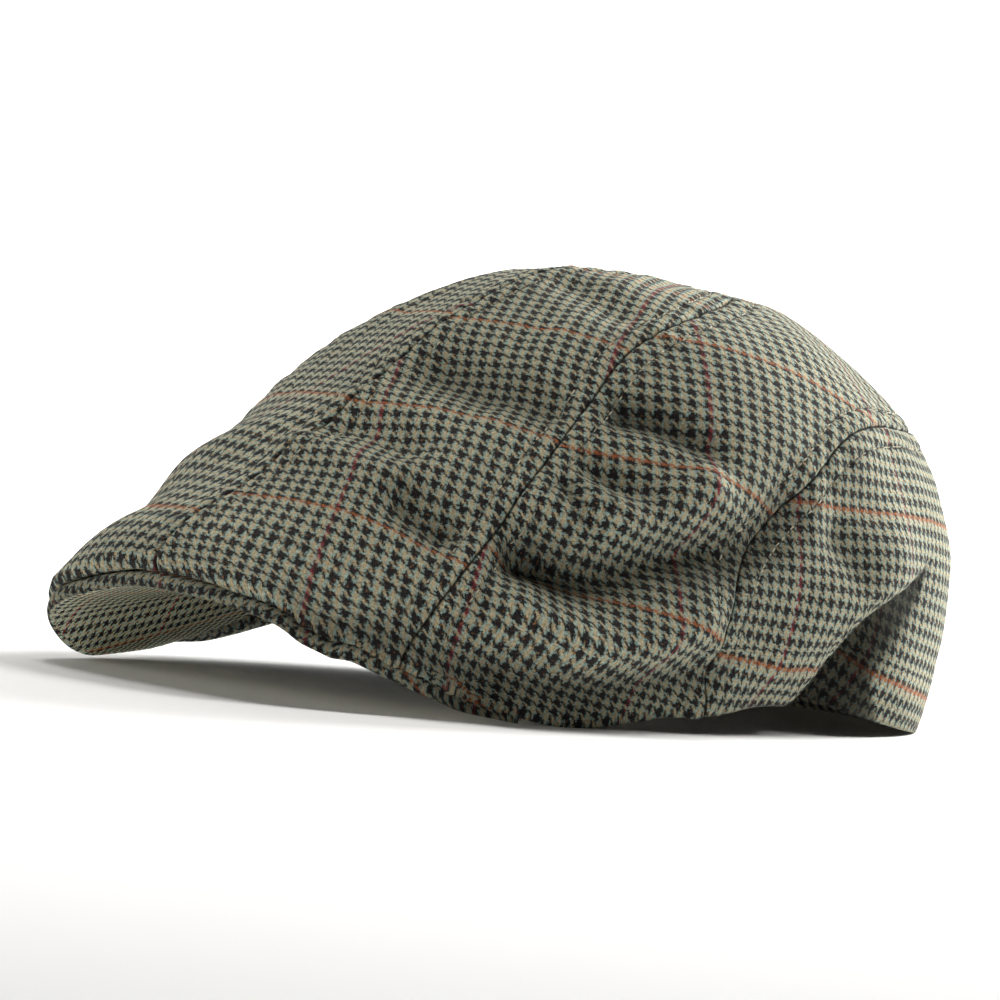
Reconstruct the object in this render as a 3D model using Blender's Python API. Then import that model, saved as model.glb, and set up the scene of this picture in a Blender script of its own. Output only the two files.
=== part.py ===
"""Flat cap: a soft cloth crown of four panels over a short covered peak.

The crown is a thin shell. Ribs run down it from the point where the seams meet on
top, each given by one row of RIBS, and the shell is the smooth surface through them.
Seams divide it into panels, and every panel is its own closed wall of cloth with a
hem turned in along the rim. The peak is a curved board under the crown's front edge.

Metres, +Z up, front at -Y, wearer's left at +X, standing on Z = 0.
"""
import math
from collections import namedtuple

import bmesh
import bpy
from mathutils import Vector

# Overall sizes
LENGTH = 0.277
HALF_WIDTH = 0.100
CROWN_HEIGHT = 0.1275

# Cloth and seams
CLOTH = 0.0020
SEAM_GAP = 0.0007
HEM_TURN = 0.0060
HEM_DEPTH = 0.0080
HEM_LEAN = 0.1

# Where the hem lies on the peak and where it stands up inside the rim, as shares of
# the half turn from front to back
HEM_FLAT_TO = 0.30
HEM_UP_FROM = 0.42

# Peak
PEAK_THICKNESS = 0.0044
PEAK_PROUD = 0.0014
PEAK_CLEARANCE = 0.0004
PEAK_SLOPE = 0.10
PEAK_CURL = 0.22
PEAK_CURL_FROM = 0.06
PEAK_CURL_TO = 0.27
PEAK_TIP = 0.28
PEAK_END = 0.36
PEAK_TIP_DEPTH = 0.003
PEAK_THINNING = 0.75

# Folds in the cloth; a fold is followed out to FOLD_FADE times its reach
FOLD_DEPTH = 0.010
FOLD_REACH = 0.020
FOLD_FADE = 3.5

# Mean colours of the checked cloth, panel by panel
FRONT_LEFT_COLOUR = (0.15, 0.15, 0.11, 1.0)
FRONT_RIGHT_COLOUR = (0.14, 0.14, 0.10, 1.0)
CROWN_COLOUR = (0.16, 0.16, 0.12, 1.0)
BACK_COLOUR = (0.18, 0.18, 0.14, 1.0)
PEAK_COLOUR = (0.12, 0.12, 0.09, 1.0)
CLOTH_ROUGHNESS = 0.95
SHARP_DEGREES = 50.0

# Opening for the head
HEAD_LENGTH = 0.202
HEAD_WIDTH = 0.160
HEAD_Y = 0.019

# Facets: the size of one, where a rib's wall ends and its turn under begins, the hem's
# rows (over 1 they are shares of the hem), the number of sections of half the
# peak and of facets round its edge, and the steps of a seam from rim to rim over the crown
FACET = 0.0066
WALL_END = 0.90
HEM_LEVELS = (0.93, 0.955, 0.978, 1.0, 1.45, 2.0)
PEAK_RINGS = 14
EDGE_FACETS = 4
SEAM_FACETS = 66

# The front panels' pointed top starts this far down, and the back seam
# turns level at this share of the half turn
TIP = 0.020
BACK_CORNER = 0.65

# For measuring the slope of the cloth, as shares of a rib or of the half turn: a small
# step, and the least distance from the top. A curve between two knots is drawn in FINE
# steps, and a place on one is found by halving its stretch HALVINGS times.
NUDGE = 0.004
NEAR_TOP = 0.02
FINE = 8
HALVINGS = 28

# Where the seams meet, as shares of the length (from the front) and of the height, and
# how the cloth there falls toward the back
APEX_ALONG = 0.729
APEX_UP = 0.965
APEX_TILT = 0.15

# Stations of a rib, as shares of its reach from the seams' meeting point
STATIONS = (0.30, 0.50, 0.66, 0.84, 0.96)

# One rib a row. side and along place its widest point, as shares of the half width
# and of the length. up_1 to up_5 are its heights at the stations, as shares of the
# crown's height. wide is its height at the widest point and rim that of the rim, on
# the left, and wide_r and rim_r on the right. tuck is how far the rim is drawn in from
# the widest point, as a share of the half width.
Rib = namedtuple("Rib", "side along up_1 up_2 up_3 up_4 up_5 wide wide_r tuck rim rim_r")
RIBS = (
    Rib(0.00, 0.004, 1.00, 0.87, 0.68, 0.470, 0.360, 0.295, 0.295, 0.01, 0.255, 0.255),
    Rib(0.42, 0.0155, 0.99, 0.85, 0.66, 0.450, 0.305, 0.265, 0.230, 0.01, 0.235, 0.200),
    Rib(0.62, 0.045, 0.99, 0.85, 0.66, 0.420, 0.235, 0.220, 0.170, 0.01, 0.190, 0.135),
    Rib(0.72, 0.112, 0.99, 0.89, 0.72, 0.460, 0.250, 0.165, 0.110, 0.01, 0.120, 0.055),
    Rib(0.82, 0.215, 0.98, 0.92, 0.80, 0.570, 0.340, 0.140, 0.130, 0.03, 0.040, 0.040),
    Rib(0.94, 0.320, 0.98, 0.93, 0.84, 0.650, 0.440, 0.200, 0.210, 0.07, 0.000, 0.050),
    Rib(1.00, 0.466, 0.97, 0.93, 0.86, 0.710, 0.520, 0.280, 0.280, 0.11, 0.045, 0.110),
    Rib(0.96, 0.617, 0.96, 0.92, 0.86, 0.730, 0.550, 0.310, 0.310, 0.13, 0.085, 0.085),
    Rib(0.90, 0.735, 0.95, 0.89, 0.82, 0.710, 0.550, 0.330, 0.330, 0.10, 0.055, 0.055),
    Rib(0.765, 0.842, 0.935, 0.87, 0.79, 0.670, 0.520, 0.340, 0.340, 0.06, 0.020, 0.020),
    Rib(0.57, 0.926, 0.92, 0.86, 0.78, 0.660, 0.510, 0.340, 0.340, 0.05, 0.002, 0.002),
    Rib(0.30, 0.980, 0.92, 0.86, 0.78, 0.660, 0.510, 0.340, 0.340, 0.05, 0.000, 0.000),
    Rib(0.00, 1.000, 0.92, 0.86, 0.78, 0.660, 0.510, 0.340, 0.340, 0.05, 0.000, 0.000),
)

# A seam's route: share of the way down the ribs, and the place between the ribs as a
# share of the half turn from front to back
SeamPoint = namedtuple("SeamPoint", "down turn")

# Side seam, from where the seams meet down to the rim above the peak
SIDE_SEAM = (
    SeamPoint(0.00, 0.560),
    SeamPoint(0.10, 0.545),
    SeamPoint(0.20, 0.510),
    SeamPoint(0.32, 0.455),
    SeamPoint(0.44, 0.390),
    SeamPoint(0.56, 0.358),
    SeamPoint(0.68, 0.334),
    SeamPoint(0.80, 0.306),
    SeamPoint(0.91, 0.280),
    SeamPoint(1.00, 0.258),
)

# Back seam, from the middle of the back round and down to the rim by the ear
BACK_SEAM = (
    SeamPoint(0.440, 1.000),
    SeamPoint(0.440, 0.890),
    SeamPoint(0.445, 0.790),
    SeamPoint(0.465, 0.710),
    SeamPoint(0.50, 0.650),
    SeamPoint(0.55, 0.607),
    SeamPoint(0.62, 0.575),
    SeamPoint(0.70, 0.543),
    SeamPoint(0.79, 0.515),
    SeamPoint(0.89, 0.502),
    SeamPoint(1.00, 0.497),
)

# A fold runs over the cloth through three places. depth is its size as a share of
# FOLD_DEPTH, below zero for a valley. front and back are how far it fades on either
# side, as shares of FOLD_REACH.
Fold = namedtuple("Fold", "name start middle end depth front back")
FOLDS = (
    Fold("deep fold behind the ear", (0.606, 1.04), (0.663, 0.86), (0.742, 0.735), -1.25, 0.52, 1.05),
    Fold("swell before it", (0.570, 0.97), (0.620, 0.845), (0.690, 0.74), 0.35, 0.60, 0.45),
    Fold("crescent valley", (0.335, 0.82), (0.420, 0.835), (0.500, 0.76), -0.42, 0.45, 0.45),
    Fold("swell of the side", (0.385, 0.91), (0.450, 0.90), (0.510, 0.88), 0.30, 0.50, 0.60),
    Fold("slanting dent", (0.378, 0.56), (0.433, 0.58), (0.478, 0.60), -0.32, 0.35, 0.35),
    Fold("upper crease", (0.378, 0.68), (0.400, 0.69), (0.425, 0.70), -0.20, 0.25, 0.25),
    Fold("lower crease", (0.365, 0.725), (0.385, 0.745), (0.402, 0.765), -0.20, 0.25, 0.25),
    Fold("ridge between them", (0.370, 0.70), (0.395, 0.72), (0.422, 0.74), 0.14, 0.20, 0.20),
    Fold("front left dent", (0.170, 0.775), (0.205, 0.79), (0.240, 0.80), -0.20, 0.40, 0.40),
    Fold("front middle dent", (0.020, 0.66), (0.055, 0.66), (0.095, 0.66), -0.14, 0.45, 0.45),
    Fold("upper front dip", (0.050, 0.50), (0.200, 0.50), (0.360, 0.54), -0.18, 0.60, 0.60),
    Fold("dip over the ear", (0.520, 0.55), (0.535, 0.62), (0.530, 0.72), -0.16, 0.40, 0.40),
    Fold("back left dip", (0.600, 0.70), (0.640, 0.68), (0.690, 0.60), -0.16, 0.50, 0.50),
    Fold("front right swell", (-0.060, 0.70), (-0.120, 0.72), (-0.180, 0.74), 0.22, 0.60, 0.60),
    Fold("front right dent", (-0.100, 0.84), (-0.160, 0.85), (-0.220, 0.86), -0.20, 0.50, 0.50),
    Fold("right crescent valley", (-0.340, 0.80), (-0.420, 0.82), (-0.510, 0.75), -0.36, 0.50, 0.50),
    Fold("swell of the right side", (-0.385, 0.91), (-0.450, 0.90), (-0.510, 0.88), 0.30, 0.50, 0.60),
    Fold("right slanting dent", (-0.390, 0.58), (-0.440, 0.60), (-0.490, 0.61), -0.28, 0.40, 0.40),
    Fold("fold behind the right ear", (-0.610, 1.04), (-0.660, 0.88), (-0.730, 0.78), -0.80, 0.40, 0.90),
    Fold("dip at the back", (-0.900, 0.80), (-1.000, 0.78), (-1.100, 0.80), -0.16, 0.70, 0.70),
)


def smooth(values, place):
    """Value of a list of tuples of numbers at a place between 0 and len - 1."""
    last = len(values) - 1
    place = min(max(place, 0.0), float(last))
    index = min(int(place), last - 1)
    share = place - index
    rows = (values[max(index - 1, 0)], values[index], values[index + 1], values[min(index + 2, last)])
    return tuple(
        hermite(b, c, (c - a) / 2.0, (d - b) / 2.0, share) for a, b, c, d in zip(*rows)
    )


def hermite(start, end, slope_start, slope_end, share):
    """Cubic from start to end with the slopes given."""
    square = share * share
    cube = square * share
    return (
        (2 * cube - 3 * square + 1) * start
        + (cube - 2 * square + share) * slope_start
        + (3 * square - 2 * cube) * end
        + (cube - square) * slope_end
    )


def ramp(value, low, high):
    """Smooth step from 0 at low to 1 at high."""
    share = min(max((value - low) / (high - low), 0.0), 1.0)
    return share * share * (3.0 - 2.0 * share)


def mirrored_ribs():
    """Ribs with a copy past each end, so that the surface runs on through the middle."""
    first = RIBS[1]._replace(side=-RIBS[1].side)
    last = RIBS[-2]._replace(side=-RIBS[-2].side)
    return (first,) + RIBS + (last,)


ALL_RIBS = mirrored_ribs()
RIM_KNOT = len(STATIONS) + 2
APEX_Y = (APEX_ALONG - 0.5) * LENGTH


def peak_slope(turn):
    """How steeply the hem and the peak rise inward at a place round the crown."""
    return PEAK_SLOPE + PEAK_CURL * ramp(abs(turn), PEAK_CURL_FROM, PEAK_CURL_TO)


def rib_path(turn):
    """Direction of the rib at a share of the half turn, and its knots (out, up)."""
    if abs(turn) > 1.0:
        turn -= math.copysign(2.0, turn)
    row = Rib(*smooth(ALL_RIBS, 1.0 + abs(turn) * (len(RIBS) - 1)))
    wide_x = row.side * HALF_WIDTH
    wide_y = (row.along - 0.5) * LENGTH
    reach = math.hypot(wide_x, wide_y - APEX_Y)
    ahead = (math.copysign(wide_x, turn) / reach, (wide_y - APEX_Y) / reach)
    right = turn < 0.0
    ups = (row.up_1, row.up_2, row.up_3, row.up_4, row.up_5)
    path = [(0.0, APEX_UP * CROWN_HEIGHT)]
    path += [(share * reach, up * CROWN_HEIGHT) for share, up in zip(STATIONS, ups)]
    path.append((reach, (row.wide_r if right else row.wide) * CROWN_HEIGHT))
    rim = (reach - row.tuck * HALF_WIDTH, (row.rim_r if right else row.rim) * CROWN_HEIGHT)
    path.append(rim)
    stand = ramp(abs(turn), HEM_FLAT_TO, HEM_UP_FROM)
    slope = peak_slope(turn)
    turned = (rim[0] - HEM_TURN, rim[1] + HEM_TURN * slope)
    path.append(turned)
    end_out = turned[0] - HEM_DEPTH * (1.0 - (1.0 - HEM_LEAN) * stand)
    end_up = turned[1] + HEM_DEPTH * (slope + (1.0 - slope) * stand)
    path.append((end_out, end_up))
    return ahead, path


def plain_point(turn, down):
    """Point of the shell without folds. down runs from 0 on top to 1 at the rim."""
    ahead, path = rib_path(turn)
    marks = [0.0]
    for before, after in zip(path, path[1:]):
        marks.append(marks[-1] + math.dist(before, after))
    goal = min(down * marks[RIM_KNOT], marks[-1])
    index = 0
    while index < len(path) - 2 and goal > marks[index + 1]:
        index += 1
    step = marks[index + 1] - marks[index]
    slopes = [path_slope(path, marks, knot, ahead[1]) for knot in (index, index + 1)]
    share = (goal - marks[index]) / step
    ends = zip(path[index], path[index + 1], *slopes)
    out, up = (hermite(a, b, slope_a * step, slope_b * step, share) for a, b, slope_a, slope_b in ends)
    return Vector((ahead[0] * out, APEX_Y + ahead[1] * out, up))


def path_slope(path, marks, knot, backward):
    """Slope of a rib's path at a knot; at the top it is that of the tilted crown."""
    if knot == 0:
        return (1.0, -APEX_TILT * backward)
    low = knot - 1
    high = min(knot + 1, len(path) - 1)
    span = marks[high] - marks[low]
    return tuple((path[high][axis] - path[low][axis]) / span for axis in (0, 1))


def plain_normal(turn, down):
    """Outward direction of the shell without folds."""
    low = max(down, NEAR_TOP)
    across = plain_point(turn + NUDGE, low) - plain_point(turn - NUDGE, low)
    along = plain_point(turn, low + NUDGE) - plain_point(turn, low - NUDGE)
    return along.cross(across).normalized()


def fold_lines():
    """Every fold with the points it runs through on the plain shell."""
    lines = []
    for fold in FOLDS:
        places = (fold.start, fold.middle, fold.end)
        points = [plain_point(*smooth(places, 2.0 * step / FINE)) for step in range(FINE + 1)]
        lines.append((fold, points))
    return lines


FOLD_LINES = fold_lines()


def fold_height(point, normal):
    """How far the folds lift the cloth at a point of the plain shell."""
    lift = 0.0
    for fold, points in FOLD_LINES:
        widest = max(fold.front, fold.back) * FOLD_REACH
        if min((point - other).length for other in points) > FOLD_FADE * widest:
            continue
        best = None
        for start, end in zip(points, points[1:]):
            run = end - start
            share = min(max((point - start).dot(run) / run.length_squared, 0.0), 1.0)
            offset = point - (start + share * run)
            if best is None or offset.length < best[0]:
                best = (offset.length, offset, run)
        distance, offset, run = best
        side = run.cross(normal).normalized().dot(offset) / max(distance, 1e-9)
        behind = 0.5 + math.copysign(0.5, fold.start[0]) * side
        reach = (fold.front + (fold.back - fold.front) * behind) * FOLD_REACH
        lift += fold.depth * FOLD_DEPTH * math.exp(-((distance / reach) ** 2))
    return lift


def crown_point(turn, down):
    """Point of the folded cloth, laid flat where it meets the surface below."""
    wall = min(down, WALL_END)
    normal = plain_normal(turn, wall)
    lift = fold_height(plain_point(turn, min(down, 1.0)), normal)
    point = plain_point(turn, down) + normal * lift
    point.z = max(point.z, 0.0)
    return point


def hem_end(turn):
    """How far down the ribs the hem's edge lies."""
    path = rib_path(turn)[1]
    marks = [0.0]
    for before, after in zip(path, path[1:]):
        marks.append(marks[-1] + math.dist(before, after))
    return marks[-1] / marks[RIM_KNOT]


def seam_place(seam, down):
    """Place between the ribs of a seam at a share of the way down."""
    down = min(down, 1.0)
    rows = sorted(seam)
    for index in range(len(rows) - 1):
        if down <= rows[index + 1].down:
            break
    low = 0.0
    high = 1.0
    for _ in range(HALVINGS):
        middle = (low + high) / 2.0
        if smooth(rows, index + middle)[0] < down:
            low = middle
        else:
            high = middle
    return smooth(rows, index + (low + high) / 2.0)[1]


def seam_turn(seam, side):
    """Function of the way down that gives a seam's place between the ribs on one side."""
    return lambda down: side * seam_place(seam, down)


def seam_line(seam):
    """The seam's route as close places, from the top down to where the wall ends."""
    dense = [SeamPoint(*smooth(seam, step / FINE)) for step in range(FINE * (len(seam) - 1) + 1)]
    dense = [row for row in dense if row.down < WALL_END - NUDGE]
    dense.append(SeamPoint(WALL_END, seam_place(seam, WALL_END)))
    return dense


def to_disc(turn, down):
    """A place on the shell as a point of a flat disc with the seams' meeting at its middle."""
    angle = math.pi * turn
    return Vector((down * math.sin(angle), -down * math.cos(angle)))


def from_disc(point):
    """The place on the shell, as turn and down, of a point of the disc."""
    return math.atan2(point.x, -point.y) / math.pi, point.length


def disc_point(point):
    """Point of the folded cloth over a point of the disc."""
    turn, down = from_disc(point)
    return crown_point(turn, down)


def even_route(points, count):
    """A route of disc points redrawn as count + 1 points at even steps over the cloth."""
    dense = []
    for start, end in zip(points, points[1:]):
        dense += [start.lerp(end, step / FINE) for step in range(FINE)]
    dense.append(points[-1])
    places = [plain_point(*from_disc(point)) for point in dense]
    marks = [0.0]
    for before, after in zip(places, places[1:]):
        marks.append(marks[-1] + (after - before).length)
    if count is None:
        count = max(2, round(marks[-1] / FACET))
    result = []
    index = 0
    for step in range(count + 1):
        goal = marks[-1] * step / count
        while index < len(dense) - 2 and marks[index + 1] < goal:
            index += 1
        span = marks[index + 1] - marks[index]
        result.append(dense[index].lerp(dense[index + 1], (goal - marks[index]) / span))
    return result


def seam_route(seam, count):
    """The seam from the rim on the left over the crown to the rim on the right, evenly."""
    line = seam_line(seam)
    route = [to_disc(row.turn, row.down) for row in reversed(line)]
    route += [to_disc(-row.turn, row.down) for row in line[1:]]
    return even_route(route, count)


def patch(top, bottom, left, right):
    """Rows of disc points that fill the space inside four matching routes."""
    rows = []
    for down_step, (side_a, side_b) in enumerate(zip(left, right)):
        q = down_step / (len(left) - 1)
        row = []
        for step, (edge_a, edge_b) in enumerate(zip(top, bottom)):
            p = step / (len(top) - 1)
            corners = top[0].lerp(top[-1], p).lerp(bottom[0].lerp(bottom[-1], p), q)
            row.append(edge_a.lerp(edge_b, q) + side_a.lerp(side_b, p) - corners)
        rows.append(row)
    return rows


def hem_rows(shares, start, end):
    """Rows of places from below the wall to the hem's edge.

    start and end give the place between the ribs of the panel's two sides at a share
    of the way down, and shares places the points of a row between them.
    """
    rows = []
    for level in HEM_LEVELS:
        row = []
        for share in shares:
            down = min(level, 1.0)
            turn = start(down) + (end(down) - start(down)) * share
            if level > 1.0:
                down += (level - 1.0) * (hem_end(turn) - 1.0)
            row.append((turn, down))
        rows.append(row)
    return rows


def turn_shares(row):
    """Places of a row's points between its ends, as shares of the turn between them."""
    turns = [from_disc(point)[0] for point in row]
    turns = [turn + 2.0 if turn < turns[0] - 0.5 else turn for turn in turns]
    return [(turn - turns[0]) / (turns[-1] - turns[0]) for turn in turns]


def cloth_skins(row):
    """Outer and inner points of the cloth at a row of places."""
    outer = [crown_point(turn, down) for turn, down in row]
    inner = []
    for point, (turn, down) in zip(outer, row):
        low = max(down, NEAR_TOP)
        across = crown_point(turn + NUDGE, low) - crown_point(turn - NUDGE, low)
        along = crown_point(turn, low + NUDGE) - crown_point(turn, low - NUDGE)
        inner.append(point - along.cross(across).normalized() * CLOTH)
    return outer, inner


def draw_in(rows, seams):
    """Rows of points with the sides that are seams moved inward by half the seams' gap."""
    rows = [list(row) for row in rows]
    half = SEAM_GAP / 2.0
    for row in rows:
        if "start" in seams:
            row[0] = row[0] + (row[1] - row[0]).normalized() * half
        if "end" in seams:
            row[-1] = row[-1] + (row[-2] - row[-1]).normalized() * half
    if "first" in seams:
        rows[0] = [a + (b - a).normalized() * half for a, b in zip(rows[0], rows[1])]
    if "last" in seams:
        rows[-1] = [a + (b - a).normalized() * half for a, b in zip(rows[-1], rows[-2])]
    return rows


def skin_faces(mesh, rows, inward):
    """Vertices and triangles of one skin, whose rows may differ in number of points."""
    made = [[mesh.verts.new(point) for point in row] for row in rows]
    for upper, lower in zip(made, made[1:]):
        a = 0
        b = 0
        while a < len(upper) - 1 or b < len(lower) - 1:
            share_a = (a + 1) / (len(upper) - 1) if a < len(upper) - 1 else 2.0
            share_b = (b + 1) / (len(lower) - 1) if b < len(lower) - 1 else 2.0
            if share_a <= share_b:
                corners = [upper[a], lower[b], upper[a + 1]]
                a += 1
            else:
                corners = [upper[a], lower[b], lower[b + 1]]
                b += 1
            mesh.faces.new(list(reversed(corners)) if inward else corners)
    return made


def border(made):
    """Vertices round the edge of a skin, in order."""
    loop = list(made[0])
    loop += [row[-1] for row in made[1:]]
    loop += list(reversed(made[-1]))[1:]
    loop += [row[0] for row in reversed(made[1:-1])]
    return loop


def shell(name, rows, seams, colour):
    """Closed wall of cloth over rows of places on the crown."""
    skins = [cloth_skins(row) for row in rows]
    outer_rows = draw_in([skin[0] for skin in skins], seams)
    inner_rows = draw_in([skin[1] for skin in skins], seams)
    mesh = bmesh.new()
    outer = border(skin_faces(mesh, outer_rows, False))
    inner = border(skin_faces(mesh, inner_rows, True))
    downs = [down for _, down in border(rows)]
    for index in range(len(outer)):
        follow = (index + 1) % len(outer)
        corners = (outer[index], inner[index], inner[follow], outer[follow])
        if downs[index] > downs[follow]:
            mesh.faces.new(corners[:3])
            mesh.faces.new((corners[0], corners[2], corners[3]))
        else:
            mesh.faces.new((corners[0], corners[1], corners[3]))
            mesh.faces.new(corners[1:])
    bmesh.ops.recalc_face_normals(mesh, faces=mesh.faces[:])
    return add_piece(name, mesh, colour)


def add_piece(name, mesh, colour):
    """Object with a matt cloth material from a bmesh, shaded smooth."""
    data = bpy.data.meshes.new(name)
    mesh.to_mesh(data)
    mesh.free()
    data.shade_smooth()
    data.set_sharp_from_angle(angle=math.radians(SHARP_DEGREES))
    material = bpy.data.materials.new(name + "_cloth")
    material.use_nodes = True
    shader = material.node_tree.nodes["Principled BSDF"]
    shader.inputs["Base Color"].default_value = colour
    shader.inputs["Roughness"].default_value = CLOTH_ROUGHNESS
    shader.inputs["Metallic"].default_value = 0.0
    data.materials.append(material)
    piece = bpy.data.objects.new(name, data)
    bpy.context.collection.objects.link(piece)
    return piece


def front_panel(name, side, colour):
    """Front of the crown between the centre seam and one side seam."""
    route = seam_route(SIDE_SEAM, SEAM_FACETS)[: SEAM_FACETS // 2]
    edges = [(seam_place(SIDE_SEAM, TIP), TIP)] + [from_disc(point) for point in reversed(route)]
    rows = []
    for edge, down in edges:
        dense = [plain_point(edge * k / FINE, down) for k in range(FINE + 1)]
        width = sum((b - a).length for a, b in zip(dense, dense[1:]))
        pieces = max(1, round(width / FACET))
        rows.append([(side * edge * k / pieces, down) for k in range(pieces + 1)])
    shares = [k / pieces for k in range(pieces + 1)]
    rows += hem_rows(shares, lambda down: 0.0, seam_turn(SIDE_SEAM, side))
    return shell(name, rows, ("start", "end"), colour)


def crown_panel(colour):
    """Top and sides of the crown in one cloth, from rim to rim behind the front panels."""
    front_route = seam_route(SIDE_SEAM, SEAM_FACETS)
    back_route = seam_route(BACK_SEAM, SEAM_FACETS)
    front_turn = seam_place(SIDE_SEAM, WALL_END)
    wall = seam_place(BACK_SEAM, WALL_END) - front_turn
    left = [to_disc(front_turn + wall * k / FINE, WALL_END) for k in range(FINE + 1)]
    left = even_route(left, None)
    right = [Vector((-point.x, point.y)) for point in left]
    rows = [[from_disc(point) for point in row] for row in patch(front_route, back_route, left, right)]
    shares = turn_shares(left)
    hems = [
        zip(*hem_rows(shares, seam_turn(SIDE_SEAM, side), seam_turn(BACK_SEAM, side)))
        for side in (1.0, -1.0)
    ]
    full = []
    for row, before, after in zip(rows, *hems):
        full.append(list(reversed(before)) + row + list(after))
    return shell("crown_panel", full, ("first", "last"), colour)


def back_panel(colour):
    """Back of the crown below the back seam, from ear to ear."""
    route = seam_route(BACK_SEAM, SEAM_FACETS)
    corner = next(k for k, point in enumerate(route) if from_disc(point)[0] >= BACK_CORNER)
    top = route[corner:-corner]
    left = list(reversed(route[: corner + 1]))
    right = route[-corner - 1 :]
    start = seam_place(BACK_SEAM, WALL_END)
    count = len(top) - 1
    bottom = [to_disc(start + (2.0 - 2.0 * start) * k / count, WALL_END) for k in range(count + 1)]
    bottom = even_route(bottom, count)
    rows = [[from_disc(point) for point in row] for row in patch(top, bottom, left, right)]
    end_turn = seam_turn(BACK_SEAM, 1.0)
    rows += hem_rows(turn_shares(bottom), end_turn, lambda down: 2.0 - end_turn(down))
    return shell("back_panel", rows, ("start", "end", "first"), colour)


def peak_ring(turn):
    """Outline of the peak's cross-section at a place round the front."""
    ahead = Vector((*rib_path(turn)[0], 0.0))
    hem = [crown_point(turn, 1.0 + (hem_end(turn) - 1.0) * step / FINE) for step in range(FINE + 1)]
    rim = hem[0]
    slope = peak_slope(turn)
    top = min(point.z - slope * (rim - point).dot(ahead) for point in hem) - PEAK_CLEARANCE
    tip = min(max((abs(turn) - PEAK_TIP) / (PEAK_END - PEAK_TIP), 0.0), 1.0)
    thick = min(PEAK_THICKNESS * (1.0 - PEAK_THINNING * tip), top)
    rim = Vector((rim.x, rim.y, 0.0)) + ahead * PEAK_PROUD
    depth = head_distance(rim, -ahead) * math.sqrt(1.0 - tip * tip) + PEAK_TIP_DEPTH * tip
    edge = thick / 2.0
    profile = [(depth, top), (depth / 2.0, top), (edge, top)]
    for step in range(1, EDGE_FACETS):
        angle = math.pi * step / EDGE_FACETS
        profile.append((edge - edge * math.sin(angle), top - edge + edge * math.cos(angle)))
    profile += [(edge, top - thick), (depth / 2.0, top - thick), (depth, top - thick)]
    return [rim - ahead * inward + Vector((0.0, 0.0, up + slope * inward)) for inward, up in profile]


def head_distance(start, direction):
    """Distance from a point to the oval opening for the head, along a direction."""
    low = 0.0
    high = HEAD_LENGTH / 2.0
    for _ in range(HALVINGS):
        middle = (low + high) / 2.0
        place = start + direction * middle
        inside = (place.x / (HEAD_WIDTH / 2.0)) ** 2 + ((place.y - HEAD_Y) / (HEAD_LENGTH / 2.0)) ** 2
        if inside > 1.0:
            low = middle
        else:
            high = middle
    return low


def peak(colour):
    """Covered board under the front of the crown, from temple to temple."""
    mesh = bmesh.new()
    steps = range(-PEAK_RINGS, PEAK_RINGS + 1)
    places = [PEAK_END * math.sin(0.5 * math.pi * step / PEAK_RINGS) for step in steps]
    rings = [[mesh.verts.new(point) for point in peak_ring(place)] for place in places]
    for before, after in zip(rings, rings[1:]):
        for index in range(len(before)):
            follow = (index + 1) % len(before)
            mesh.faces.new((before[index], after[index], after[follow], before[follow]))
    mesh.faces.new(rings[0])
    mesh.faces.new(list(reversed(rings[-1])))
    bmesh.ops.recalc_face_normals(mesh, faces=mesh.faces[:])
    bmesh.ops.triangulate(mesh, faces=mesh.faces[:])
    return add_piece("peak", mesh, colour)


def main():
    """Clear the scene and make the cap."""
    for old in list(bpy.data.objects):
        bpy.data.objects.remove(old, do_unlink=True)
    front_panel("front_panel_left", 1.0, FRONT_LEFT_COLOUR)
    front_panel("front_panel_right", -1.0, FRONT_RIGHT_COLOUR)
    crown_panel(CROWN_COLOUR)
    back_panel(BACK_COLOUR)
    peak(PEAK_COLOUR)


main()
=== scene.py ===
"""Flat cap in a dogtooth check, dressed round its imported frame.

The crown is sewn from two front panels, one panel over the top and sides, and a back
panel. A short covered peak lies under its front edge. Each panel is a fine grid laid on
the crown's surface, with a rolled edge along its seams and a hem turned in at the rim.

Metres, +Z up, front at -Y, wearer's left at +X.
"""

import logging
import math
from dataclasses import dataclass, field
from enum import Enum
from typing import NamedTuple

import bmesh
import bpy
import numpy as np
from mathutils import Matrix, Vector


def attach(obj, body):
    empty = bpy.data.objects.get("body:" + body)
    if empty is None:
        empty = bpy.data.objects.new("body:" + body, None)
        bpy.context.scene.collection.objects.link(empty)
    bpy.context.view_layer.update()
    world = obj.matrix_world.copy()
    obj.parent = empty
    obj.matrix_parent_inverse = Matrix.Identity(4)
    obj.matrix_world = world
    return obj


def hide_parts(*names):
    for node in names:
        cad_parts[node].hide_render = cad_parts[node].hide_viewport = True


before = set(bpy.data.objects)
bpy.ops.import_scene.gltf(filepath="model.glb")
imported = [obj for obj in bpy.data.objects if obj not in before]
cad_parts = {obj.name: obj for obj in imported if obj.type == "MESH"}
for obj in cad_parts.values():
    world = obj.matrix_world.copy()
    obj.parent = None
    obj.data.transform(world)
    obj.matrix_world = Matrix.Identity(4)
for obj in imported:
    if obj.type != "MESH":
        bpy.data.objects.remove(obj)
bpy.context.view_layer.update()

LOG = logging.getLogger("flat_cap")
MM = 0.001
TINY = 1e-9
SOFT_EDGE = math.radians(60.0)
Grid = np.ndarray


class Side(Enum):
    """Side of the cap, with its sign along X."""

    LEFT = 1.0
    RIGHT = -1.0


class Rib(NamedTuple):
    """One section of the crown, from the seams' meeting point down to the rim."""

    side: float
    along: float
    up_1: float
    up_2: float
    up_3: float
    up_4: float
    up_5: float
    wide: float
    wide_r: float
    tuck: float
    rim: float
    rim_r: float


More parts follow.
